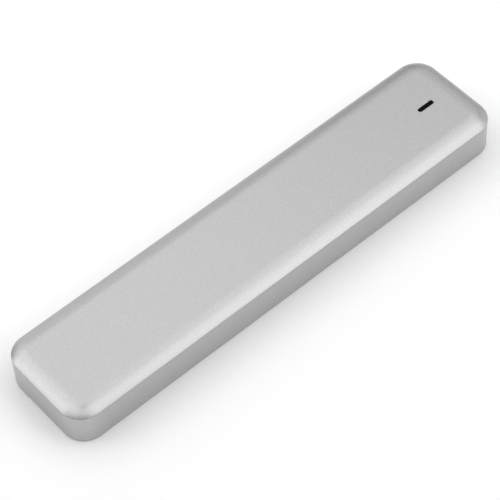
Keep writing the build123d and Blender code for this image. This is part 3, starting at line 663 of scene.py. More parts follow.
        # Each point of the ring moves along its corner's radius, so that all arcs of a corner share one centre.
        work_out(tree, known, (("left", "SUBTRACT", "Corner", "in"), ("share", "DIVIDE", "left", "Corner")))
        for axis, size in (("X", "Length"), ("Y", "Width")):
            work_out(tree, known, (
                ("half", "MULTIPLY", size, 0.5),
                ("centre", "SUBTRACT", "half", "Corner"),
                ("side", "SIGN", f"ring {axis}"),
                ("middle", "MULTIPLY", "side", "centre"),
                ("radius", "SUBTRACT", f"ring {axis}", "middle"),
                (f"place {axis}", "MULTIPLY_ADD", "radius", "share", "middle"),
            ))
        place = add_node(
            tree, "ShaderNodeCombineXYZ",
            {"X": known["place X"], "Y": known["place Y"], "Z": stored["profile"]["Y"]},
        ).outputs["Vector"]
        feeds = {"Geometry": geometry, "Position": place}
        return add_node(tree, "GeometryNodeSetPosition", feeds).outputs["Geometry"]


class RepeatedPiece(ShapeTree):
    """One piece repeated at each point that goes in, each copy turned a little by a fixed seed."""

    NAME = "repeated_piece"
    INPUTS = (("Piece", "NodeSocketObject"), ("Turn", "NodeSocketFloat"), ("Seed", "NodeSocketInt"))
    SEED = 3

    def shape(self, tree: Tree, entry: Sockets) -> Socket:
        """Put the piece on every point.

        Args:
            tree: the tree that gets the nodes.
            entry: the tree's inputs.

        Returns:
            The copies.
        """
        piece = add_node(
            tree, "GeometryNodeObjectInfo", {"Object": entry["Piece"], "As Instance": True}
        ).outputs["Geometry"]
        # A plain random number has its least and its most in inputs 2 and 3, and comes out at output 1.
        angle = add_node(
            tree, "FunctionNodeRandomValue", {2: 0.0, 3: entry["Turn"], "Seed": entry["Seed"]}, data_type="FLOAT"
        ).outputs[1]
        turn = add_node(tree, "ShaderNodeCombineXYZ", {"Z": angle}).outputs["Vector"]
        feeds = {"Points": entry["Geometry"], "Instance": piece, "Rotation": turn}
        return add_node(tree, "GeometryNodeInstanceOnPoints", feeds).outputs["Instances"]

    def repeat(self, piece: Mesh, places: list[Point], turn: float = 0.0) -> Mesh:
        """Repeat a mesh at places.

        Args:
            piece: the mesh to repeat, about the origin.
            places: where each copy's origin goes.
            turn: the largest turn of a copy about Z, in radians.

        Returns:
            One mesh with all the copies.
        """
        single = in_scene("single", piece)
        points = bpy.data.meshes.new("places")
        points.from_pydata(places, [], [])
        mesh = self.mesh(points, Piece=single, Turn=turn, Seed=self.SEED)
        bpy.data.objects.remove(single)
        return mesh


class Action(Enum):
    """What a second solid does to the first."""

    CUT = "DIFFERENCE"
    JOIN = "UNION"
    MEET = "INTERSECT"


def combine(first: Mesh, action: Action, *others: Mesh) -> Mesh:
    """Cut solids from one, join them to it, or keep what they share.

    Args:
        first: the mesh that is kept or cut.
        action: what the others do to it.
        others: the other meshes, taken in order.

    Returns:
        The new mesh.
    """
    for other in others:
        work, tool = in_scene("work", first), in_scene("tool", other)
        modifier = work.modifiers.new("combine", "BOOLEAN")
        modifier.operation, modifier.solver, modifier.object = action.value, "EXACT", tool
        first = settle(work)
        bpy.data.objects.remove(tool)
    return first


def loft(name: str, rings: list[Ring], sleeve: bool = False) -> Mesh:
    """Make a closed solid from rings of equally many points.

    Args:
        name: the mesh's name.
        rings: the rings, from one end to the other.
        sleeve: whether the last ring joins the first, in place of the flat ends.

    Returns:
        The mesh, with its faces outwards.
    """
    shape = bmesh.new()
    rows = [[shape.verts.new(point) for point in ring] for ring in rings]
    for low, high in zip(rows, rows[1:] + rows[:1] if sleeve else rows[1:]):
        for n in range(len(low)):
            m = (n + 1) % len(low)
            shape.faces.new((low[n], low[m], high[m], high[n]))
    if not sleeve:
        shape.faces.new(rows[0][::-1])
        shape.faces.new(rows[-1])
    bmesh.ops.recalc_face_normals(shape, faces=shape.faces)
    mesh = bpy.data.meshes.new(name)
    shape.to_mesh(mesh)
    shape.free()
    return mesh


def rounded(length: float, width: float, corner: float, steps: int = 12) -> Plan:
    """Find the points of a rounded rectangle about the origin.

    Args:
        length: its size along the first axis.
        width: its size along the second.
        corner: radius of its corners, which at half its width makes it a pill.
        steps: how many lengths make one corner.

    Returns:
        The points, anticlockwise.
    """
    points = []
    for quarter in range(4):
        side_x = 1 if quarter in (0, 3) else -1
        side_y = 1 if quarter in (0, 1) else -1
        for step in range(steps + 1):
            angle = (quarter + step / steps) * math.pi / 2
            points.append((
                side_x * (length / 2 - corner) + corner * math.cos(angle),
                side_y * (width / 2 - corner) + corner * math.sin(angle),
            ))
    return points


def circle(radius: float, steps: int = 48) -> Plan:
    """Points of a circle about the origin."""
    turns = [2 * math.pi * n / steps for n in range(steps)]
    return [(radius * math.cos(turn), radius * math.sin(turn)) for turn in turns]


def ring(plan: Plan, height: float, centre: Spot = (0.0, 0.0)) -> Ring:
    """A plan's points at a height, about a centre."""
    return [Vector((centre[0] + x, centre[1] + y, height)) for x, y in plan]


def upright(plan: Plan, x: float, height: float = 0.0) -> Ring:
    """A plan's points stood up across X at a place along it, about a height."""
    return [Vector((x, y, height + z)) for y, z in plan]


def prism(plan: Plan, low: float, high: float, centre: Spot = (0.0, 0.0)) -> Mesh:
    """A straight solid on a plan."""
    return loft("prism", [ring(plan, low, centre), ring(plan, high, centre)])


def box(low: Point, high: Point) -> Mesh:
    """A plain block between two corners."""
    plan = [(low[0], low[1]), (high[0], low[1]), (high[0], high[1]), (low[0], high[1])]
    return loft("box", [ring(plan, low[2]), ring(plan, high[2])])


def grown(plan: Plan, amount: float) -> Plan:
    """Move each side of a plan outwards.

    Args:
        plan: the points, anticlockwise.
        amount: how far each side moves.

    Returns:
        The new points.
    """
    lines = []
    for (x0, y0), (x1, y1) in zip(plan, plan[1:] + plan[:1]):
        run = math.hypot(x1 - x0, y1 - y0)
        nx, ny = (y1 - y0) / run, (x0 - x1) / run
        lines.append((nx, ny, nx * x0 + ny * y0 + amount))
    points = []
    for (a, b, c), (d, e, f) in zip(lines[-1:] + lines[:-1], lines):
        turn = a * e - b * d
        points.append(((c * e - b * f) / turn, (a * f - c * d) / turn))
    return points


def eased(points: Plan, radius: float, steps: int = 5, ends: bool = False) -> Plan:
    """Round the corners of a line or a plan.

    Args:
        points: the corners.
        radius: how far along each side a corner's curve starts, at most.
        steps: how many lengths make one curve.
        ends: whether the first and last points are the ends of a line.

    Returns:
        The points with a curve in place of each corner.
    """
    smooth = []
    for n, (x, y) in enumerate(points):
        if ends and n in (0, len(points) - 1):
            smooth.append((x, y))
            continue
        sides = []
        for px, py in (points[n - 1], points[(n + 1) % len(points)]):
            run = math.hypot(px - x, py - y)
            # No more than 0.45 of a side, so that the curves at its two ends stay apart.
            share = min(radius, 0.45 * run) / run
            sides.append((x + (px - x) * share, y + (py - y) * share))
        (ax, ay), (bx, by) = sides
        for step in range(steps + 1):
            t = step / steps
            u = 1 - t
            smooth.append((u * u * ax + 2 * u * t * x + t * t * bx, u * u * ay + 2 * u * t * y + t * t * by))
    return smooth


def strip(path: Plan, width: float, thickness: float) -> Mesh:
    """Bend a strip of sheet along a path in the XZ plane.

    Args:
        path: the corners of its middle line, as X and Z.
        width: its width, along Y.
        thickness: the sheet's thickness.

    Returns:
        The mesh, with its long edges eased.
    """
    line = eased(path, 2 * thickness, ends=True)
    section = rounded(thickness, width, thickness / 4, steps=2)
    rings = []
    for n, (x, z) in enumerate(line):
        (x0, z0), (x1, z1) = line[max(n - 1, 0)], line[min(n + 1, len(line) - 1)]
        run = math.hypot(x1 - x0, z1 - z0)
        across = (-(z1 - z0) / run, (x1 - x0) / run)
        rings.append([Vector((x + across[0] * a, b, z + across[1] * a)) for a, b in section])
    return loft("strip", rings)


def marked(mesh: Mesh, reach: float | None) -> Mesh:
    """Say which points of a small part are plated.

    Args:
        mesh: the part.
        reach: how far out along X the plating starts, or None where it is everywhere.

    Returns:
        The same mesh, with its attribute.
    """
    plated = mesh.attributes.new("plated", "FLOAT", "POINT")
    for vertex, value in zip(mesh.vertices, plated.data):
        value.value = 1.0 if reach is None or abs(vertex.co.x) > reach else 0.0
    return mesh


def merged(*meshes: Mesh) -> Mesh:
    """Put several closed meshes into one.

    Args:
        meshes: the meshes.

    Returns:
        The new mesh.
    """
    shape = bmesh.new()
    for mesh in meshes:
        shape.from_mesh(mesh)
    result = bpy.data.meshes.new("merged")
    shape.to_mesh(result)
    shape.free()
    return result


def smoothed(mesh: Mesh, crease: float = 24.0) -> Mesh:
    """Weld a mesh, shade its curves smooth and keep its real edges and flats crisp.

    Args:
        mesh: the mesh.
        crease: the angle in degrees past which an edge stays sharp.

    Returns:
        The mesh with its normals set.
    """
    shape = bmesh.new()
    shape.from_mesh(mesh)
    bmesh.ops.remove_doubles(shape, verts=shape.verts, dist=WELD)
    bmesh.ops.dissolve_degenerate(shape, edges=shape.edges, dist=WELD)
    bmesh.ops.recalc_face_normals(shape, faces=shape.faces)
    for face in shape.faces:
        face.smooth = True
    for edge in shape.edges:
        edge.smooth = len(edge.link_faces) == 2 and edge.calc_face_angle() < math.radians(crease)
    shape.to_mesh(mesh)
    shape.free()
    work = in_scene("work", mesh)
    modifier = work.modifiers.new("normals", "WEIGHTED_NORMAL")
    modifier.keep_sharp = True
    return settle(work)


def place_piece(name: str, mesh: Mesh, finish: Finish, slot: str, *nodes: str) -> Object:
    """Finish a piece that stands for nodes of the CAD.

    Args:
        name: the piece's name.
        mesh: its mesh, in millimetres.
        finish: what it is made of.
        slot: not used.
        nodes: the nodes that it replaces.

    Returns:
        The piece's object, at the origin and with its place in its mesh.
    """
    mesh.name = name
    mesh.transform(Matrix.Scale(MM, 4))
    mesh.materials.clear()
    mesh.materials.append(finish.make())
    piece = in_scene(name, mesh)
    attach(piece, "root")
    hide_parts(*nodes)
    LOG.info("%s: %d faces, replaces %s", name, len(mesh.polygons), ", ".join(nodes))
    return piece


def node_box(node: str) -> tuple[Vector, Vector]:
    """A CAD node's lowest and highest corners, in millimetres."""
    low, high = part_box(node)
    return low / MM, high / MM


def node_middle(node: str) -> Spot:
    """The middle of a CAD node, seen from above, in millimetres."""
    low, high = node_box(node)
    return (low.x + high.x) / 2, (low.y + high.y) / 2


class Drive(Enum):
    """The recess in a screw's head."""

    STAR = "six lobes"
    CROSS = "cross"


# How far a head's rim is drawn in at each height from its face: sharp on a sunk head, else domed.
SUNK_RIM = ((0.0, 0.04), (0.04, 0.02))
DOMED_RIM = ((0.0, 0.34), (0.05, 0.16), (0.16, 0.04), (0.32, 0.0))


@dataclass
class Screw:
    """A screw that stands head down, with its thread cut into its shank. Sizes are in millimetres."""

    drive: Drive
    head_radius: float
    head_height: float
    shank_radius: float
    length: float
    recess: float
    countersunk: bool = False
    recess_depth: float = 0.55
    recess_draft: float = 0.9
    recess_edge: float = 0.06
    recess_flare: float = 1.05
    lobes: int = 6
    lobe_depth: float = 0.14
    half_slot: float = 0.175
    slot_turns: tuple[float, ...] = (0.0, 0.12, 0.28)
    pitch: float = 0.4
    thread_depth: float = 0.16
    undercut: float = 0.1
    tip: float = 0.3
    points: int = 72
    steps_a_turn: int = 6

    def angles(self) -> list[float]:
        """Choose where the points of each ring lie, with one at every corner of the recess.

        Returns:
            Their directions, in radians.
        """
        if self.drive is Drive.STAR:
            return [2 * math.pi * n / self.points for n in range(self.points)]
        quarter = math.pi / 2
        corner = math.atan(self.half_slot / self.recess)
        sides = [corner + turn for turn in self.slot_turns]
        steps = [-corner / 2, 0.0, corner / 2, *sides, quarter / 2, *(quarter - side for side in reversed(sides))]
        return [n * quarter + step for n in range(4) for step in steps]

    def reach(self, angle: float) -> float:
        """How far the recess reaches in one direction.

        Args:
            angle: the direction, in radians.

        Returns:
            The distance from the screw's axis, in millimetres.
        """
        if self.drive is Drive.STAR:
            return self.recess * (1 - self.lobe_depth + self.lobe_depth * math.cos(self.lobes * angle))
        turn = abs((angle + math.pi / 4) % (math.pi / 2) - math.pi / 4)
        end = self.recess / math.cos(turn)
        return min(end, self.half_slot / math.sin(turn)) if turn else end

    def thread(self, height: float) -> list[float]:
        """How far the thread reaches in each direction at a height of the shank."""
        phases = [(height / self.pitch - angle / (2 * math.pi)) % 1 for angle in self.angles()]
        return [self.shank_radius - self.thread_depth * (1 - abs(2 * phase - 1)) for phase in phases]

    def level(self, height: float, radii: Iterable[float]) -> Ring:
        """Draw one ring of the screw.

        Args:
            height: where it lies along the screw.
            radii: how far it reaches in each direction.

        Returns:
            Its points.
        """
        return [Vector((r * math.cos(a), r * math.sin(a), height)) for a, r in zip(self.angles(), radii)]

    def mesh(self) -> Mesh:
        """Build the screw about the origin, with the face of its head at z = 0.

        Returns:
            The mesh, which holds each point's distance from the axis.
        """
        recess = [self.reach(angle) for angle in self.angles()]
        bowl = ((self.recess_depth, self.recess_draft), (self.recess_edge, 1.0), (0.0, self.recess_flare))
        rings = [self.level(height, [scale * reach for reach in recess]) for height, scale in bowl]
        seat = self.head_height
        rim = SUNK_RIM if self.countersunk else (*DOMED_RIM, (seat, 0.0))
        plain = [(height, self.head_radius - inset) for height, inset in rim] + [(seat, self.shank_radius)]
        rings += [self.level(height, itertools.repeat(radius)) for height, radius in plain]
        start = seat + self.undercut
        end = self.length + (0.0 if self.countersunk else seat)
        threaded = end - self.tip - start
        turns = max(1, round(threaded / self.pitch * self.steps_a_turn))
        heights = [start + threaded * n / turns for n in range(turns + 1)]
        rings += [self.level(height, self.thread(height)) for height in heights]
        rings.append(self.level(end, itertools.repeat(self.shank_radius - self.tip)))
        mesh = loft("screw", rings)
        axis = mesh.attributes.new("from_axis", "FLOAT", "POINT")
        for vertex, value in zip(mesh.vertices, axis.data):
            value.value = math.hypot(vertex.co.x, vertex.co.y)
        return mesh


@dataclass
class Fixing:
    """A node's screws, where they stand, and the posts that they go into. Sizes are in millimetres."""

    node: str
    piece: str
    screw: Screw
    post_radius: float
    hole_depth: float
    seat: float
    web_bottom: float = 0.0

    @property
    def spots(self) -> list[Spot]:
        """Find the screws' axes from the box round their heads.

        Returns:
            Their places, seen from above.
        """
        low, high = node_box(self.node)
        radius = self.screw.head_radius
        across = sorted({round(low.x + radius, 4), round(high.x - radius, 4)})
        along = sorted({round(low.y + radius, 4), round(high.y - radius, 4)})
        return [(x, y) for x in across for y in along]


@dataclass
class Case:
    """The crowned housing, its base cover, its window and all the screws. Sizes are in millimetres."""

    form: CrownedForm
    repeated: RepeatedPiece
    side_wall: float = 1.2
    roof: float = 1.2
    crown_width: float = 4.4
    crown_drop: float = 1.5
    field_corner: float = 1.25
    crease_radius: float = 0.15
    foot: float = 0.3
    rim_lip: float = 0.75
    seam_gap: float = 0.08
    base_thickness: float = 1.2
    slot_length: float = 4.7
    slot_width: float = 1.2
    slot_edge: float = 0.08
    window_fit: float = 0.04
    window_edge: float = 0.08
    flange_corner: float = 0.4
    lamp_pocket: float = 0.3
    port_width: float = 13.5
    port_height: float = 3.15
    port_corner: float = 0.9
    port_edge: float = 0.25
    web: float = 1.0
    pocket_depth: float = 0.6
    pocket_width: float = 10.3
    pocket_low: float = 1.7
    pocket_high: float = 2.55
    cover_edge: float = 0.1
    rib_width: float = 0.8
    rib_reach: float = 53.55
    rib_place: float = 11.75
    rib_top: float = 2.0
    hook_width: float = 10.0
    hook_gap: float = 0.15
    hook_reach: float = 0.45
    hook_bottom: float = 1.75
    hook_top: float = 2.4
    sink_radius: float = 1.98
    clear_radius: float = 1.15
    corner_steps: int = 24
    crease_steps: int = 5
    crown_steps: int = 28
    low: Vector = field(init=False)
    high: Vector = field(init=False)
    cover_fixing: Fixing = field(init=False)
    fixings: list[Fixing] = field(init=False)

    def __post_init__(self) -> None:
        """Take the outside size and the places of the screws from the CAD."""
        self.low, self.high = node_box("top_housing")
        board_low, board_high = node_box("bridge_board")
        self.cover_fixing = Fixing(
            "cover_screws", "cover_screw_pair",
            Screw(
                Drive.STAR, head_radius=1.9, head_height=0.9, shank_radius=1.0, length=5.0, recess=0.82,
                countersunk=True,
            ),
            post_radius=1.8, hole_depth=4.3, seat=self.base_thickness, web_bottom=board_low.z,
        )
        board_fixing = Fixing(
            "board_screws", "board_screw_set",
            Screw(Drive.CROSS, head_radius=1.4, head_height=0.8, shank_radius=0.8, length=2.6, recess=0.84),
            post_radius=1.7, hole_depth=2.1, seat=board_high.z,
        )
        blade_fixing = Fixing(
            "blade_screw", "blade_holding_screw",
            Screw(Drive.CROSS, head_radius=1.9, head_height=1.1, shank_radius=1.0, length=3.4, recess=1.14),
            post_radius=2.3, hole_depth=3.1, seat=node_box("blade_board")[1].z,
        )
        self.fixings = [self.cover_fixing, board_fixing, blade_fixing]

    @property
    def length(self) -> float:
        """Length of the case."""
        return self.high.x - self.low.x

    @property
    def width(self) -> float:
        """Width of the case."""
        return self.high.y - self.low.y

    @property
    def corner(self) -> float:
        """Radius of the case's corners, seen from above."""
        return self.field_corner + self.crown_width

    def crowned(self, wall: float, roof: float, bottom: float, foot: float, crease: float) -> Mesh:
        """Build the outside form, or a smaller one inside it.

        Args:
            wall: how far its sides are brought in.
            roof: how far its top is brought down.
            bottom: height of its foot.
            foot: height of the chamfer there.
            crease: radius of its crease.

        Returns:
            The solid.
        """
        crown_radius = (self.crown_width ** 2 + self.crown_drop ** 2) / (2 * self.crown_drop)
        return self.form.mesh(
            Length=self.length - 2 * wall, Width=self.width - 2 * wall, Corner=self.corner - wall,
            Bottom=bottom, Foot=foot, Top=self.high.z - roof, Crown_Width=self.crown_width - wall,
            Crown_Radius=crown_radius - roof, Crease_Radius=crease,
            Corner_Steps=self.corner_steps, Crease_Steps=self.crease_steps, Crown_Steps=self.crown_steps,
        )

    def plate(self, inset: float, bottom: float, top: float, edge: float) -> Mesh:
        """Build a flat plate on the case's plan.

        Args:
            inset: how far its sides are brought in.
            bottom: height of its lower face.
            top: height of its upper face.
            edge: height of the chamfer under its edge.

        Returns:
            The solid.
        """
        return self.form.mesh(
            Length=self.length - 2 * inset, Width=self.width - 2 * inset, Corner=self.corner - inset,
            Bottom=bottom, Foot=edge, Top=top, Crown_Width=0.0, Crown_Radius=1.0, Crease_Radius=0.0,
            Corner_Steps=self.corner_steps, Crease_Steps=1, Crown_Steps=1,
        )

    def posts(self) -> list[Mesh]:
        """Build the posts that the screws go into and their webs, cut to the form of the case.

        Returns:
            The solids.
        """
        core = self.crowned(self.side_wall / 2, self.roof / 2, -PAST, 0, 0)
        ceiling = self.high.z + PAST
        solids = [
            prism(circle(fixing.post_radius), fixing.seat, ceiling, spot)
            for fixing in self.fixings for spot in fixing.spots
        ]
        half, bottom = self.web / 2, self.cover_fixing.web_bottom
        for x, y in self.cover_fixing.spots:
            outer = math.copysign(self.width / 2, y)
            solids.append(box((x - half, min(y, outer), bottom), (x + half, max(y, outer), ceiling)))
        return [combine(solid, Action.MEET, core) for solid in solids]

    def pill(self, levels: tuple[tuple[float, float], ...]) -> Mesh:
        """Make a pill in the indicator's place.

        Args:
            levels: heights, each with how much larger than the slot the pill is there.

        Returns:
            The solid.
        """
        rings = []
        for height, more in levels:
            plan = rounded(self.slot_length + 2 * more, self.slot_width + 2 * more, self.slot_width / 2 + more)
            rings.append(ring(plan, height, node_middle("light_pipe")))
        return loft("pill", rings)

    def slot_cutter(self) -> Mesh:
        """What is cut for the indicator: a pill with a small chamfer at the top."""
        top, edge = self.high.z, self.slot_edge
        return self.pill(((top - self.roof - PAST, 0), (top - edge, 0), (top + PAST, edge + PAST)))

    def port_cutter(self) -> Mesh:
        """Build what is cut for the plug: a rounded opening through the end wall, with a chamfer at its mouth.

        Returns:
            The solid.
        """
        low, high = node_box("usb_shell")
        middle, wall, edge = (low.z + high.z) / 2, self.high.x, self.port_edge
        rings = []
        for x, more in ((wall - self.side_wall - PAST, 0), (wall - edge, 0), (wall + PAST, edge + PAST)):
            plan = rounded(self.port_width + 2 * more, self.port_height + 2 * more, self.port_corner + more)
            rings.append(upright(plan, x, middle))
        return loft("port_cutter", rings)

    def housing(self) -> Mesh:
        """Build the one-piece housing, with its step, posts, holes, slot, port opening and hook pocket.

        Returns:
            The solid.
        """
        mesh = self.crowned(0, 0, 0, self.foot, self.crease_radius)
        cavity = self.crowned(self.side_wall, self.roof, -PAST, 0, 0)
        mesh = combine(mesh, Action.CUT, cavity, self.plate(self.rim_lip, -PAST, self.base_thickness, 0))
        mesh = combine(mesh, Action.JOIN, *self.posts())
        holes = [
            prism(circle(fixing.screw.shank_radius), fixing.seat - PAST / 2, fixing.seat + fixing.hole_depth, spot)
            for fixing in self.fixings for spot in fixing.spots
        ]
        inner_end = self.low.x + self.side_wall
        pocket = box(
            (inner_end - self.pocket_depth, -self.pocket_width / 2, self.pocket_low),
            (inner_end + self.pocket_depth, self.pocket_width / 2, self.pocket_high),
        )
        return combine(mesh, Action.CUT, *holes, pocket, self.slot_cutter(), self.port_cutter())

    def cover(self) -> Mesh:
        """Build the base cover: a plate with two ribs and a hook, and two countersunk holes.

        Returns:
            The solid.
        """
        mesh = self.plate(self.rim_lip + self.seam_gap, 0, self.base_thickness, self.cover_edge)
        half_rib, half_hook, low = self.rib_width / 2, self.hook_width / 2, self.base_thickness / 2
        ribs = [
            box((-self.rib_reach, y - half_rib, low), (self.rib_reach, y + half_rib, self.rib_top))
            for y in (-self.rib_place, self.rib_place)
        ]
        wall = self.low.x + self.side_wall
        face, tip = wall + self.hook_gap, wall - self.hook_reach
        arm = box((face, -half_hook, low), (face + PAST, half_hook, self.hook_top))
        tongue = box((tip, -half_hook, self.hook_bottom), (face + PAST / 2, half_hook, self.hook_top))
        mesh = combine(mesh, Action.JOIN, *ribs, combine(arm, Action.JOIN, tongue))
        depth = self.sink_radius - self.clear_radius
        sink = (
            (self.sink_radius + PAST, -PAST), (self.clear_radius, depth),
            (self.clear_radius, self.base_thickness + PAST),
        )
        sinks = [
            loft("countersink", [ring(circle(radius), height, spot) for radius, height in sink])
            for spot in self.cover_fixing.spots
        ]
        return combine(mesh, Action.CUT, *sinks)

    def window(self) -> Mesh:
        """Build the smoked window: a pill with a soft edge, on a flange with a pocket for the lamp.

        Returns:
            The solid.
        """
        low, high = node_box("light_pipe")
        lamp_low, lamp_high = node_box("indicator_led")
        shoulder, fit, edge = self.high.z - self.roof, self.window_fit, self.window_edge
        pill = self.pill((
            (shoulder - PAST / 2, -fit), (high.z - edge, -fit), (high.z - 3 / 8 * edge, -fit - edge / 4),
            (high.z, -fit - edge),
        ))
        plan = rounded(high.x - low.x, high.y - low.y, self.flange_corner)
        flange = prism(plan, low.z, shoulder, node_middle("light_pipe"))
        pocket = box((lamp_low.x, lamp_low.y, low.z - PAST), (lamp_high.x, lamp_high.y, low.z + self.lamp_pocket))
        return combine(combine(pill, Action.JOIN, flange), Action.CUT, pocket)

    def build(self) -> None:
        """Make the housing, the cover, the window and the screws."""
        place_piece("housing_shell", smoothed(self.housing()), HOUSING_FINISH, "housing", "top_housing")
        place_piece("base_plate", smoothed(self.cover()), COVER_FINISH, "cover", "base_cover")
        place_piece("indicator_window", smoothed(self.window()), WINDOW_FINISH, "window", "light_pipe")
        for fixing in self.fixings:
            level = node_box(fixing.node)[0].z
            places = [(x, y, level) for x, y in fixing.spots]
            mesh = self.repeated.repeat(fixing.screw.mesh(), places, math.pi / 2)
            place_piece(fixing.piece, smoothed(mesh), SCREW_FINISH, "screw", fixing.node)


@dataclass
class Port:
    """The receptacle: a folded shell round a main and a fast row of contacts, with a waist between them.

    Sizes are in millimetres.
    """

    repeated: RepeatedPiece
    sheet: float = 0.3
    height: float = 1.95
    main_width: float = 7.15
    waist_width: float = 0.9
    fast_width: float = 4.25
    waist_depth: float = 0.55
    main_slant: float = 0.7
    fast_slant: float = 0.5
    flange: float = 0.9
    flange_length: float = 2.4
    fold: float = 0.28
    lip: float = 0.06
    pin_pitch: float = 0.65
    pin_width: float = 0.35
    pin_thickness: float = 0.12
    pins: int = 5

    @property
    def half(self) -> float:
        """Half of the mouth's width."""
        return (self.main_width + self.waist_width + self.fast_width) / 2

    def mouth(self) -> Plan:
        """Draw the mouth's outline: straight above, and slanted and waisted below.

        Returns:
            Its corners.
        """
        top, bottom = self.height / 2, -self.height / 2
        waist_left = self.main_width - self.half
        waist_right = waist_left + self.waist_width
        return [
            (-self.half, top), (-self.half, bottom + self.main_slant), (-self.half + self.main_slant, bottom),
            (waist_left - self.waist_depth, bottom), (waist_left, bottom + self.waist_depth),
            (waist_right, bottom + self.waist_depth), (waist_right + self.waist_depth / 2, bottom),
            (self.half - self.fast_slant, bottom), (self.half, bottom + self.fast_slant), (self.half, top),
        ]

    def shell(self) -> Mesh:
        """Build the folded shell, with rounded folds, a softened mouth and two flanges.

        Returns:
            The solid.
        """
        low, high = node_box("usb_shell")
        middle = (low.z + high.z) / 2
        rings = []
        for x, growth in (
            (low.x, self.sheet), (high.x - self.lip, self.sheet), (high.x, self.sheet - self.lip),
            (high.x, self.lip), (high.x - self.lip, 0.0), (low.x, 0.0),
        ):
            # A fold's outer radius is larger than its inner one.
            plan = eased(grown(self.mouth(), growth), self.fold * (0.5 + growth))
            rings.append(upright(plan, x, middle))
        mesh = loft("shell", rings, sleeve=True)
        centre = (low.x + high.x) / 2
        for side in (-1, 1):
            ends = sorted((side * self.half, side * (self.half + self.sheet + self.flange)))
            flange = box(
                (centre - self.flange_length / 2, ends[0], high.z - self.sheet),
                (centre + self.flange_length / 2, ends[1], high.z),
            )
            mesh = combine(mesh, Action.JOIN, flange)
        return mesh

    def contacts(self) -> Mesh:
        """Build two rows of contacts, each bent up at the back to its foot on the board.

        Returns:
            One mesh of all of them.
        """
        low, high = node_box("usb_contacts")
        level = low.z + self.pin_thickness / 2
        foot = high.z - self.pin_thickness / 2
        back = node_box("usb_shell")[0].x - self.pin_thickness
        path = [(high.x, level), (back, level), (back, foot), (low.x, foot)]
        pin = strip(path, self.pin_width, self.pin_thickness)
        rows = (self.main_width / 2 - self.half, self.half - self.fast_width / 2)
        offsets = [(n - (self.pins - 1) / 2) * self.pin_pitch for n in range(self.pins)]
        return self.repeated.repeat(pin, [(0.0, row + offset, 0.0) for row in rows for offset in offsets])

    def build(self) -> None:
        """Make the shell and its contacts."""
        place_piece("port_shell", smoothed(self.shell()), SHELL_FINISH, "plug_shell", "usb_shell")
        place_piece("port_contacts", smoothed(self.contacts()), GOLD_FINISH, "gold", "usb_contacts")


